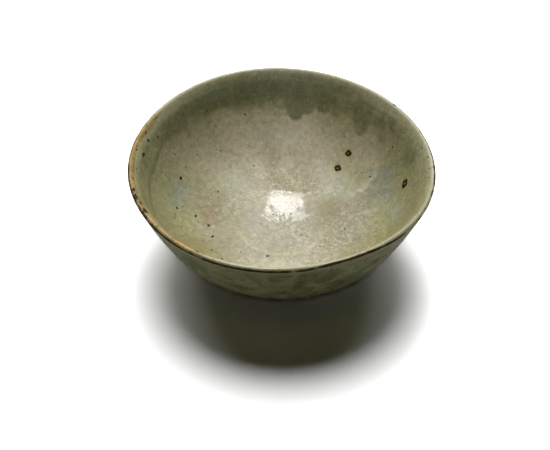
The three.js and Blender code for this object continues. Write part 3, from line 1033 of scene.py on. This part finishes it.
BEIGE, GREY_GREEN = colour(162, 154, 117), colour(145, 146, 108)
PINKISH, OLIVE_BROWN, SAND = colour(168, 149, 126), colour(150, 146, 98), colour(138, 128, 78)
FRESH_GREEN, RUST_STAIN, BLUISH = colour(164, 165, 122), colour(146, 116, 68), colour(151, 157, 142)
# The milk colour is partly milky glaze and partly painted light.
MILK_AND_PAINTED_LIGHT, DULL_OCHRE = colour(188, 179, 153), colour(124, 112, 64)
# The cream colour is the pour lines' own, and painted light on the front.
POOL_GREY, CREAM_AND_PAINTED_LIGHT = colour(160, 154, 132), colour(206, 198, 168)

tone = board.tint((clouds * 0.6 + blotches * 0.6).between(0.48, 0.7), BEIGE, GREY_GREEN)
for share, over in (
    (drifts.between(0.5, 0.64) * (mask["low"] * 0.45 + 0.15), PINKISH),
    (drifts.between(0.47, 0.34) * 0.6, OLIVE_BROWN),
    (mask["sandy"] * 0.85, SAND),
    (mask["fresh"] * 0.55, FRESH_GREEN),
    (mask["warm"].frayed(blotches, 0.8).between(0.1, 1.0) * 0.8, RUST_STAIN),
    (mask["cool"].frayed(blotches, 0.8).between(0.1, 1.0) * 0.75, BLUISH),
    # Partly milky glaze, partly painted light on the walls.
    (mask["milky"].limited() * 0.8, MILK_AND_PAINTED_LIGHT),
    (mask["dull"].limited() * 0.6, DULL_OCHRE),
    (mask["pool"] * 0.5, POOL_GREY),
    # Cream of the pour lines, and painted light on the front wall and the well's step.
    (mask["cream"] * 0.85, CREAM_AND_PAINTED_LIGHT),
):
    tone = board.tint(share, tone, over)
print("nodes for the ground:", len(board.tree.nodes))

# %% [markdown]
# ## The glaze: runs, outside and lip
#
# Thick glaze is dark green and streaked down the wall, so its noise is stretched in height; at the
# top of the back wall, under the lip there and in the fold the same dark green is also painted
# shade. Over it lie the pale line under the lip, the olive of the outside, and the ochre of the
# lip, where the glaze burnt thin. Noise frays the edge of each, since a mask alone would end too
# evenly.

# %% Runs, outside and lip
# The dark green is thick glaze, and painted shade under the back lip and in the fold.
DARK_GREEN, LIGHT_GREEN = colour(78, 86, 43), colour(100, 102, 56)
OLIVE, DEEP_OLIVE = colour(168, 171, 129), colour(102, 108, 68)
OCHRE, GREEN_OCHRE = colour(172, 134, 52), colour(118, 106, 50)
PALE_LIP, IRON_HALO = colour(180, 178, 144), colour(176, 152, 92)

stretched = board.node("ShaderNodeVectorMath", {"operation": "MULTIPLY"},
                       {0: place, 1: (1.0, 1.0, 0.3)})[0]
runs = board.noise(stretched, 190, 3, 0.55, 0.3)
ragged = mask["thick"].frayed(blotches, 0.9).frayed(runs, 0.5).between(0.08, 0.9)
green = board.tint(runs.between(0.4, 0.62), DARK_GREEN, LIGHT_GREEN)
outer_tone = board.tint((blotches * 0.7 + clouds * 0.4).between(0.4, 0.7), OLIVE, DEEP_OLIVE)
ochre = board.tint((blotches * 0.5 + mottle * 0.5).between(0.42, 0.58), OCHRE, GREEN_OCHRE)
for share, over in (
    # Thick glaze, and painted shade at the back wall's top, under the back lip and in the fold.
    (ragged * 0.85, green),
    (mask["pale"] * 0.5, PALE_LIP),
    (mask["outside"] * (1 - mask["pale"] * 0.85), outer_tone),
    (mask["burnt"].frayed(mottle, 1.8).between(0.15, 0.9), ochre),
    (mask["halo"] * 0.5, IRON_HALO),
):
    tone = board.tint(share, tone, over)
print("nodes with runs and lip:", len(board.tree.nodes))

# %% [markdown]
# ## The glaze: crackle, pinholes and crumbs
#
# Glass shrinks more than clay, and cracks into a net as fine as skin. Gas left pinholes, and
# unmelted grains show as pale crumbs, most of all low down. The net is the edges of a patchwork
# bent by noise. The dots are the middles of the cells of two others, in the few cells that a
# chance picks. The crumbs that join into little worms are the level lines of a noise.

# %% Crackle, pinholes and crumbs
CRACK, PINHOLE, CRUMB, WORM = (
    colour(96, 88, 62), colour(96, 84, 62), colour(214, 206, 180), colour(206, 198, 172))

bend = board.node("ShaderNodeTexNoise", None, {"Vector": place, "Scale": 300.0})[1]
bent = board.node("ShaderNodeVectorMath", {"operation": "MULTIPLY_ADD"},
                  {0: bend, 1: (0.0016, 0.0016, 0.0016), 2: place})[0]
crackle = 1 - board.cells(bent, 260, "DISTANCE_TO_EDGE")["Distance"].between(0.004, 0.03)
pits = board.cells(place, 300)
pinhole = (1 - pits["Distance"].between(0.08, 0.32)) * board.chance(pits, "Red").between(0.6, 0.7)
grains = board.cells(place, 290)
crystal = 1 - grains["Distance"].between(0.08, 0.3)
crystal = crystal * board.chance(grains, "Green").between(0.45, 0.65)
worms = board.noise(place, 330, 2, 0.5, 1.2)
ridge = worms.between(0.44, 0.5) * (1 - worms.between(0.5, 0.56))
crumbly = (1 - mask["outside"]) * (1 - mask["thick"] * 0.8)
for share, over in (
    (crackle * 0.14, CRACK),
    (pinhole * 0.45, PINHOLE),
    (crystal * crumbly * 0.45, CRUMB),
    (ridge * crumbly * clouds.between(0.3, 0.6) * (mask["low"] * 0.55 + 0.2), WORM),
):
    tone = board.tint(share, tone, over)
uneven = mottle.between(0.37, 0.63) * 0.26 + grain.between(0.3, 0.7) * 0.1
# Painted shade: darker in the ring above the well's step and at the shaded places.
tone = board.shade(tone, 0.82 + uneven - mask["low"] * 0.12 - mask["hollow"] * 0.3)
print("nodes with the fine detail:", len(board.tree.nodes))

# %% [markdown]
# ## The glaze: gloss, dents and burnt iron
#
# The same patterns feed the bump, since each is also a dent or a grain. The glaze is satin on the
# walls and glossy where it pooled and where the lip is polished. The outside is partly dry, with
# less reflection, and where iron took over the surface is matt and nearly black, so two mixes of
# shaders come last.

# %% Gloss, dents and burnt iron
INK_IRON, BROWN_IRON = colour(34, 32, 12), colour(68, 55, 24)

height = mottle * 0.9 + ridge * 0.15 + grain * 0.3 + crystal * 0.45 - pinhole * 0.8
height = (1 - mask["gloss"] * 0.7) * (height - crackle * 0.25)
dents = board.bump(height, 0.52, 0.0002)
gloss = mask["gloss"].frayed(mottle, 0.8).frayed(grain, 0.5).between(0.1, 0.85)
satin = 0.46 - gloss * 0.26 - mask["thick"] * 0.1 - mask["cool"] * 0.12
satin = satin + mask["burnt"] * 0.2 + (mottle - 0.5) * 0.16 + mask["outside"] * 0.06
satin = satin - mask["polished"] * 0.24 + mask["dull"].limited() * (1 - gloss) * 0.12
rust = board.tint(mottle.between(0.35, 0.6), INK_IRON, BROWN_IRON)
rusty = mask["iron"].frayed(mottle, 0.8).between(0.22, 0.45)
glass = board.solid(Base_Color=tone, Roughness=satin, IOR=1.5, Normal=dents)
dry = board.solid(Base_Color=tone, Roughness=0.6, Specular_IOR_Level=0.15, Normal=dents)
burnt_iron = board.solid(Base_Color=rust, Roughness=0.8, Specular_IOR_Level=0.15, Normal=dents)
board.finish(board.mix(rusty, board.mix(mask["outside"] * 0.6, glass, dry), burnt_iron))
print("nodes in the glaze:", len(board.tree.nodes))

# %% [markdown]
# ## Bare clay and grit
#
# The foot was wiped clean before the firing, so its clay is bare: sandy, pitted and burnt orange
# where the glaze thinned out. The clay under the glaze never saw the flame and is greyer, and the
# grit under the foot is crushed fire clay. They differ in colour and in how coarse they are, so
# one function makes all three.

# %% Clays
def clay_material(name, light, dark, coarse):
    """Fired clay with sand and small dark grains in it."""
    material, board = new_material(name)
    place = board.place()
    body = board.noise(place, 120, 5, 0.6)
    sand = board.noise(place, coarse, 3, 0.65)
    grog = board.cells(place, coarse * 0.55)
    dark_grain = 1 - grog["Distance"].between(0.1, 0.3)
    dark_grain = dark_grain * board.chance(grog, "Red").between(0.7, 0.76)
    tone = board.tint((body * 0.6 + sand * 0.4).between(0.36, 0.64), light, dark)
    tone = board.tint(dark_grain * 0.7, tone, colour(70, 52, 38))
    dents = board.bump(sand - dark_grain * 0.3, 0.8, 0.0002)
    board.finish(board.solid(Base_Color=tone, Roughness=0.82 + sand * 0.15, Normal=dents))
    return material


thrown_clay = clay_material("thrown_clay", colour(158, 142, 118), colour(132, 116, 94), 1300)
bare_clay = clay_material("bare_foot_clay", colour(150, 108, 78), colour(122, 90, 66), 1500)
fire_clay = clay_material("fire_clay", colour(196, 182, 156), colour(164, 146, 118), 2200)
print("clays:", thrown_clay.name, bare_clay.name, fire_clay.name)

# %% [markdown]
# ## Burst iron
#
# Iron spots are burst bubbles of dark glass, matt and rough, with a paler middle where the clay
# shows. The middle is a mask of its own on the blisters, so one material does for them and for the
# small specks, which have none.

# %% Iron
BUBBLE_DARK, BUBBLE_BROWN = colour(28, 21, 11), colour(50, 38, 19)
PALE_MIDDLE = colour(138, 116, 84)
iron, board = new_material("burst_iron")
rough_iron = board.noise(board.place(), 1500, 4, 0.65)
tone = board.tint(rough_iron.between(0.35, 0.65), BUBBLE_DARK, BUBBLE_BROWN)
tone = board.tint(board.mask("middle") * 0.8, tone, PALE_MIDDLE)
dents = board.bump(rough_iron, 0.7, 0.00015)
board.finish(board.solid(Base_Color=tone, Roughness=0.62 + rough_iron * 0.3,
                         Specular_IOR_Level=0.2, Normal=dents))
print("nodes in the iron:", len(board.tree.nodes))

# %% [markdown]
# ## The rows of rings
#
# Rings are about a millimetre apart on the walls and closer over the lip and the well's step, where
# the surface turns fast. Every place where one coat ends and the next begins has a ring of its own,
# and both coats use it, so no seam opens between them.

# %% Rows, columns and the glaze's thickness
SPACING = {"well": 1.0, "step": 0.3, "wall": 0.95, "groove": 0.4, "lip seam": 0.6,
           "lip inside": 0.6, "bead": 0.4, "lip outside": 0.5, "outer wall": 1.1,
           "foot curve": 0.6, "flank": 0.6}
LIP_SEAM_SHARE = 0.66
marks = dict(upper.ends)
marks["lip seam"] = marks["groove"] + LIP_SEAM_SHARE * (marks["lip inside"] - marks["groove"])
rows, start = [0.0], 0.0
for name, end in sorted(marks.items(), key=lambda item: item[1]):
    count = max(1, int(round((end - start) / SPACING[name])))
    rows += list(np.linspace(start, end, count + 1)[1:])
    start = end
rows = np.array(rows)


def front_columns(radius):
    """Corners in a ring of the front, fewer near the axis."""
    for limit, count in ((4, 48), (10, 96), (22, 192)):
        if radius < limit:
            return count
    return 384


def back_columns(radius):
    """Corners in a ring that is hidden."""
    return max(48, front_columns(radius) // 4)


THICKNESS = {0: 1.1, marks["well"]: 1.1, marks["step"]: 0.55, marks["groove"]: 0.55,
             marks["lip inside"]: 0.25, marks["lip outside"]: 0.25, marks["outer wall"]: 0.6,
             upper.length: 0.6}


def thickness(s):
    """The glaze's thickness along the walk."""
    return float(np.interp(s, list(THICKNESS), list(THICKNESS.values())))


print("rings over the bowl:", len(rows), "glaze at the lip in mm:", round(thickness(lip_top), 2))

# %% [markdown]
# ## The coats of glaze
#
# Each coat is the same walk between two marks: first its front, with the relief, then its hidden
# back in the other direction at the depth of the glaze. The well's coat starts on the axis and so
# has no inner end. Where the glaze was wiped from the foot, its edge rolls down to the clay.

# %% The coats
EDGE_ROLL = 0.9
FLANK_THICKNESS = 0.6


def rolled(walk, last, thick):
    """The relief, with the last of the glaze rolled down to the clay."""
    def shape(s, angle):
        base = relief(s, angle) if walk is upper else 0.02 * lumps(s, angle)
        wander = 0.1 * lumps(0 * s, angle)
        gap = np.clip((np.abs(s - last) - wander) / EDGE_ROLL, 0, 1)
        return base * gap - 0.8 * thick * (1 - np.sqrt(1 - (1 - gap) ** 2 * 0.999))

    return shape


def coat(name, node, walk, spans, shape=relief, depth=thickness, columns=front_columns):
    """A coat between two marks of a walk. One that starts on the axis is closed there already."""
    skin = Skin()
    skin.coat(walk, spans, columns, shape)
    backs = list(spans[::-4])
    if backs[-1] != spans[0]:
        backs.append(spans[0])
    skin.coat(walk, backs, back_columns, None, depth, back=True)
    starts_on_axis, ends_on_axis = (walk.at(spans[i])[0] < ON_AXIS for i in (0, -1))
    if ends_on_axis or not starts_on_axis:
        skin.close()
    return build(skin, name, [node], glaze, with_masks=walk is upper)


def span(first, last):
    """The rows from one mark to another."""
    return rows[(rows >= first - 1e-6) & (rows <= last + 1e-6)]


for name, slot, node, first, last in (
    ("well_pool", "pooled_glaze", "well_glaze", 0, marks["well"]),
    ("inner_coat", "inner_glaze", "inner_glaze", marks["well"], marks["lip seam"]),
    ("lip_coat", "lip_glaze", "lip_glaze", marks["lip seam"], marks["lip outside"]),
    ("outer_coat", "outer_glaze", "outer_glaze", marks["lip outside"], marks["outer wall"]),
):
    coat(name, node, upper, span(first, last))
coat("foot_coat", "foot_glaze", upper, span(marks["outer wall"], marks["flank"]),
     rolled(upper, upper.length, FLANK_THICKNESS))

# %% [markdown]
# ## Under the base
#
# The recess inside the foot ring has a thin coat too. It has no masks of its own, so it gets those
# of the outside all over.

# %% The base's coat
BASE_THICKNESS = 0.45
FOOT_SIDES = 192
lower_rows = np.concatenate([
    np.linspace(0, lower.ends["recess curve"], 14),
    np.linspace(lower.ends["recess curve"], lower.length, 22)[1:],
])
base = coat("base_coat", "base_glaze", lower, lower_rows,
            rolled(lower, 0.0, BASE_THICKNESS), BASE_THICKNESS,
            lambda radius: min(FOOT_SIDES, front_columns(radius)))
for name in sample:
    value = 0.85 if name == "outside" else 0.0
    write_mask(base.data, name, np.full(len(base.data.vertices), value))
print("rings under the base:", len(lower_rows))

# %% [markdown]
# ## The clay inside and the foot ring
#
# Under the glaze is the thrown wall itself, a smooth copy of the CAD solid at the depth of the
# glaze. The foot ring is turned from the same clay: glazed flanks, softened bevels and a bare sole
# with the faint rings of the turning tool.

# %% Clay bowl and foot ring
BOND = 0.05
SOLE_LEVEL = 0.12
SOFTEN_CLAY = 0.22
OUTER_BEVEL, INNER_BEVEL = (28.15, 1.55), (23.2, 1.55)
outer_seam = (marks["outer wall"] + marks["foot curve"]) / 2
inner_seam = (lower.ends["inner flank"] + lower.ends["recess curve"]) / 2
sole_outer = (STANDING_DIAMETER / 2 + STANDING_WIDTH / 2, SOLE_LEVEL)
sole_inner = (STANDING_DIAMETER / 2 - STANDING_WIDTH / 2, SOLE_LEVEL)
sole = Walk([("outer bevel", through(OUTER_BEVEL, sole_outer)),
             ("sole", through(sole_outer, sole_inner)),
             ("inner bevel", through(sole_inner, INNER_BEVEL))], SOFTEN_CLAY)


def clay_depth(s):
    """How deep the clay lies under the glaze's surface."""
    return thickness(s) + BOND


def body_columns(radius):
    """Corners in a ring of the thrown wall."""
    return min(96, front_columns(radius))


def foot_columns(radius):
    """Corners in a ring of the foot."""
    return FOOT_SIDES


def turned(s, angle):
    """Rings left by the turning tool, and small tears in the clay."""
    return 0.03 * np.sin(2 * math.pi * s / 0.9) + 0.04 * fine_lumps(s, angle) - 0.03


under_base = BASE_THICKNESS + BOND
body = Skin()
body.coat(upper, span(0, outer_seam)[::2], body_columns, None, clay_depth, back=True)
body.coat(lower, lower_rows[lower_rows > inner_seam], body_columns, None, under_base, back=True)
build(body, "thrown_wall", ["clay_bowl"], thrown_clay)

foot = Skin()
foot.coat(upper, span(outer_seam, upper.length), foot_columns, None, clay_depth)
foot.coat(sole, np.linspace(0.2, sole.length - 0.2, 26), foot_columns, turned)
foot.coat(lower, lower_rows[lower_rows < inner_seam], foot_columns, None, under_base)
foot.close()
build(foot, "foot_turned", ["foot_ring"], bare_clay)

# %% [markdown]
# ## Iron blisters
#
# A grain of iron in the clay boils, bursts through the glaze and freezes as a little crater: a dark
# raised ring, not quite round, with a paler middle. Each is a small lathe form with an uneven ring,
# laid on the glaze by the frame of the surface there: across, up the wall, and out.

# %% The blisters
CRATER = [(0.0, 0.06), (0.2, 0.07), (0.3, 0.12), (0.4, 0.26), (0.55, 0.4), (0.72, 0.44),
          (0.88, 0.36), (1.0, 0.2), (1.08, 0.0), (1.05, -0.4), (0.5, -0.5), (0.0, -0.5)]
CRATER_SIDES = 48
FIRST_CRATER_SEED = 40


def glaze_frame(s, angle):
    """A place on the glaze with its directions across, up the wall and out."""
    here = surface(upper, np.array([s]), np.array([angle]))[0]
    out = air_normals(upper, np.array([s]), np.array([angle]))[0]
    up = surface(upper, np.array([s + 0.5]), np.array([angle]))[0] - here
    across = np.cross(up, out)
    across /= np.linalg.norm(across)
    return here, across, np.cross(out, across), out


def blister(name, node, place, size, long, seed):
    """A burst crater of iron."""
    here, across, up, out = glaze_frame(*place)
    chance = np.random.default_rng(seed)
    starts = chance.uniform(0, 2 * math.pi, 6)
    skin = Skin()
    middle = []
    for share, height in CRATER:
        angle = circle(1 if share == 0 else CRATER_SIDES)
        square = 1 + 0.09 * np.cos(4 * angle + starts[0])
        uneven = sum(0.035 * np.cos(k * angle + starts[k]) for k in (1, 2, 3))
        reach = share * size * (square + uneven)
        lift = height * (1 + 0.35 * np.cos(angle + starts[4]) * (share > 0.3))
        lift = lift + 0.04 * np.cos(7 * angle + starts[5]) * (0.4 < share < 0.95)
        places = here + np.outer(reach * np.cos(angle), across)
        places = places + np.outer(reach * np.sin(angle) * long, up) + np.outer(lift, out)
        skin.ring(places)
        middle += [float(smooth(0.4, 0.2, share)) if height > -0.3 else 0.0] * len(angle)
    piece = build(skin, name, [node], iron)
    write_mask(piece.data, "middle", middle)


for seed, (name, (place, size, long)) in enumerate(blisters.items(), FIRST_CRATER_SEED):
    blister(f"blister_{name}", f"iron_spot_{name}", place, size, long, seed)

# %% [markdown]
# ## Specks of iron
#
# Smaller grains only stained the glaze: dark dots from a quarter to half a millimetre. They could
# be a pattern in the material, but the clearest ones are where the photograph shows them, so each
# is a low dome of its own, and a few seeded ones are scattered on the outside.

# %% The specks
SPECKS = [(180.7, 178, 0.9), (177, 208, 0.7), (175.2, 214, 0.35), (175, 217.5, 0.4),
          (195.7, 216, 0.7), (208.6, 225.5, 0.78), (212.6, 236.5, 0.72), (211.8, 250, 0.5),
          (241, 252, 0.4), (222, 258.8, 0.5), (267.5, 256, 0.65), (345, 229, 0.45),
          (245.4, 114.5, 0.5), (206.6, 110.5, 0.35), (157.9, 136.7, 0.6), (148.3, 140.4, 0.75),
          (143.6, 154.2, 0.95), (143, 156.6, 0.5), (136.9, 146, 0.4), (136.4, 169.2, 0.45),
          (392.6, 146.8, 0.5), (370, 176.6, 0.45), (421.8, 148, 0.4), (428, 157, 0.45),
          (429.4, 168.4, 0.4), (429.6, 177.6, 0.35), (218.2, 191.8, 0.5), (254, 165.8, 0.45),
          (292.8, 190.4, 0.4), (283, 215, 0.35), (301.5, 235, 0.4), (307, 236.5, 0.4),
          (273, 214.6, 0.4), (198, 222.6, 0.3), (168.4, 229, 0.35), (202.3, 241, 0.3),
          (413.6, 209.5, 0.5), (415.6, 206.3, 0.4), (153.5, 187.5, 0.3), (230.7, 187.2, 0.3),
          (175.2, 154.4, 0.35), (197.5, 154.8, 0.35), (221, 150.6, 0.35), (186, 167.5, 0.3)]
SCATTERED = 36
DOME = [(1.0, -0.12), (0.92, 0.02), (0.6, 0.07), (0.0, 0.09)]
DOME_SIDES = 10


def dome(skin, place, size, chance):
    """A low round speck."""
    here, across, up, out = glaze_frame(*place)
    here = here + out * float(relief(np.array([place[0]]), np.array([place[1]]))[0])
    stretch = chance.uniform(0.8, 1.3)
    lean = chance.uniform(0, math.pi)
    skin.last = None
    skin.ring(np.array([here + out * DOME[0][1]]))
    for share, height in DOME:
        angle = circle(1 if share == 0 else DOME_SIDES)
        reach = share * size * 1.4
        east = reach * np.cos(angle) * stretch
        north = reach * np.sin(angle) / stretch
        a = east * math.cos(lean) - north * math.sin(lean)
        b = east * math.sin(lean) + north * math.cos(lean)
        skin.ring(here + np.outer(a, across) + np.outer(b, up) + height * out)


chance = np.random.default_rng(8)
specks = Skin()
for x, y, size in SPECKS:
    dome(specks, on_glaze(x, y), size, chance)
for _ in range(SCATTERED):
    s = lip_top + 6 + chance.uniform(0, 62)
    dome(specks, (s, chance.uniform(0, 2 * math.pi)), chance.uniform(0.25, 0.6), chance)
specks.turn_over()
speck_piece = build(specks, "iron_specks", [], iron)
write_mask(speck_piece.data, "middle", np.zeros(specks.count))

# %% [markdown]
# ## Grit under the foot
#
# The bowl stood on five pads of crushed fire clay in the kiln, and some grit stayed on the sole.
# Each pad is an oval lump with a rough lower side that reaches the table.

# %% The pads
PAD_ANGLES = [18, 87, 163, 232, 305]
PAD_LONG, PAD_WIDE, PAD_SHRINK = 3.2, 2.1, 0.95
PAD_RINGS = [(0.0, 0.0), (0.3, 0.0), (0.55, 0.01), (0.75, 0.03), (0.9, 0.07), (1.0, 0.2),
             (0.97, 0.5), (0.5, 0.55), (0.0, 0.55)]
PAD_SIDES = 40
for number, turn in enumerate(PAD_ANGLES, 1):
    chance = np.random.default_rng(60 + number)
    starts = chance.uniform(0, 2 * math.pi, 8)
    pad_angle = math.radians(turn)
    outward = np.array([math.cos(pad_angle), math.sin(pad_angle), 0])
    sideways = np.array([-math.sin(pad_angle), math.cos(pad_angle), 0])
    centre = STANDING_DIAMETER / 2 * outward + np.array([FOOT_OFFSET, 0, 0])
    pad = Skin()
    for share, height in PAD_RINGS:
        angle = circle(1 if share == 0 else PAD_SIDES)
        edge = 1 + sum(0.03 * np.cos(k * angle + starts[k]) for k in (2, 3, 5, 7))
        rough = 0.03 * (1 + np.cos(5 * angle + 9 * share + starts[0])) * (height < 0.3)
        wide = np.outer(PAD_WIDE * PAD_SHRINK * share * edge * np.cos(angle), outward)
        long = np.outer(PAD_LONG * PAD_SHRINK * share * edge * np.sin(angle), sideways)
        pad.ring(centre + wide + long + np.outer(height + rough, np.array([0, 0, 1])))
    pad.turn_over()
    build(pad, f"pad_grit_{number}", [f"kiln_pad_{number}"], fire_clay)

# %% [markdown]
# ## The floor
#
# The bowl stands on white paper. The camera sees it a little over white, so that only the shadow
# shows, and mirrored rays see it white. What it gives to the bowl is less and a little warmer,
# because the real paper is not endless. Light Path tells these rays apart. More light on the whole
# scene would also make the paper white, but it would bleach the glaze.

# %% White paper
FLOOR_SEEN = 1.93
FLOOR_GIVEN = (0.31, 0.295, 0.25, 1)
FLOOR_HALF = 6
WHITE = (1, 1, 1, 1)
floor_mesh = bpy.data.meshes.new("floor")
corners = [(x * FLOOR_HALF, y * FLOOR_HALF, 0) for x, y in ((-1, -1), (1, -1), (1, 1), (-1, 1))]
floor_mesh.from_pydata(corners, [], [(0, 1, 2, 3)])
floor = bpy.data.objects.new("floor", floor_mesh)
bpy.context.scene.collection.objects.link(floor)
sheet, board = new_material("white_paper")
rays = board.node("ShaderNodeLightPath")
mirrored = (rays["Is Glossy Ray"] + rays["Is Transmission Ray"]).limited()
paper_colour = board.tint(mirrored, FLOOR_GIVEN, WHITE)
paper_colour = board.tint(rays["Is Camera Ray"], paper_colour, (FLOOR_SEEN,) * 3 + (1,))
board.finish(board.node("ShaderNodeBsdfDiffuse", None, {"Color": paper_colour})["BSDF"])
floor_mesh.materials.append(sheet)
print("floor in m:", [round(side, 2) for side in floor.dimensions])

# %% [markdown]
# ## Light from above
#
# The shadow falls to the front with a soft edge, so the light is wide and stands above and behind
# the bowl. Sun lamps give that softness evenly over the whole floor, and two of different widths
# follow how the shadow fades. A small third one is the window that the well reflects. Each has its
# degrees to the right, its degrees behind overhead, how wide it looks in degrees, and its share of
# the light on a level sheet.

# %% The lamps
LAMPS = {"soft_key": (-1.8, 29, 39.5, 0.62), "wide_back": (-2.2, 44, 68, 0.265),
         "window": (2, 37.5, 13, 0.115)}


def aim(source, towards):
    """Turns a lamp to shine from a direction."""
    source.rotation_mode = "QUATERNION"
    source.rotation_quaternion = towards.to_track_quat("Z", "Y")
    bpy.context.scene.collection.objects.link(source)


def lamp(name, aside, behind, width, share):
    """A soft source that is equally bright over the whole floor."""
    off_vertical = math.radians(math.hypot(aside, behind))
    round_it = math.atan2(behind, aside)
    towards = Vector((math.sin(off_vertical) * math.cos(round_it),
                      math.sin(off_vertical) * math.sin(round_it), math.cos(off_vertical)))
    data = bpy.data.lights.new(name, "SUN")
    data.angle = math.radians(width)
    data.energy = share * math.pi / math.cos(off_vertical)
    aim(bpy.data.objects.new(name, data), towards)


for name, settings in LAMPS.items():
    lamp(name, *settings)
print("light on a level white sheet:", round(sum(item[3] for item in LAMPS.values()), 2))

# %% [markdown]
# ## A spot on the back wall
#
# The inside of the back wall faces the front, and the photograph shows it lighter than light from
# behind can make it. A narrow spot from the front reaches it over the near rim. A grid on a real
# spot keeps it off the floor, and here its cone is no wider than the wall needs.

# %% The gridded spot
GRID_PLACE = Vector((0, -700, 900)) * MM
GRID_AIM = Vector((6, 57, 34)) * MM
GRID_REACH = 80 * MM
GRID_SIZE = 50 * MM
GRID_LEVEL = 0.35
beam = GRID_AIM - GRID_PLACE
grid_data = bpy.data.lights.new("grid_spot", "SPOT")
grid_data.spot_size = 2 * math.atan(GRID_REACH / beam.length)
grid_data.spot_blend = 1.0
grid_data.shadow_soft_size = GRID_SIZE
grid_data.energy = GRID_LEVEL * 4 * math.pi**2 * beam.length**2
grid_spot = bpy.data.objects.new("grid_spot", grid_data)
grid_spot.location = GRID_PLACE
aim(grid_spot, -beam)
print("cone of the spot in degrees:", round(math.degrees(grid_data.spot_size), 1))

# %% [markdown]
# ## The surroundings
#
# For the camera and in reflections the surroundings are white near the horizon and grey above, as
# a room with a pale wall is. For every other ray they are almost black, so the shadow stays as deep
# as the lamps make it. The view is Standard, which shows a colour as it is written.

# %% World and view
ALMOST_BLACK = (0.0015, 0.0015, 0.0015, 1)
GREY_ABOVE = (0.12, 0.12, 0.12, 1)
world = bpy.data.worlds.new("studio")
bpy.context.scene.world = world
world.use_nodes = True
board = Board(world.node_tree)
direction = board.node("ShaderNodeTexCoord")["Generated"]
upward = board.node("ShaderNodeSeparateXYZ", None, {0: direction})["Z"]
rays = board.node("ShaderNodeLightPath")
seen = (rays["Is Camera Ray"] + rays["Is Glossy Ray"] + rays["Is Transmission Ray"]).limited()
room = board.tint(upward.between(0.3, 0.62), WHITE, GREY_ABOVE)
sky = board.node("ShaderNodeBackground", None, {"Color": board.tint(seen, ALMOST_BLACK, room)})
board.finish(sky["Background"], "ShaderNodeOutputWorld")

view = bpy.context.scene.view_settings
view.view_transform = "Standard"
print("view:", view.view_transform)

# %% [markdown]
# ## The size of it all
#
# The dressed bowl must be as large as the CAD model.
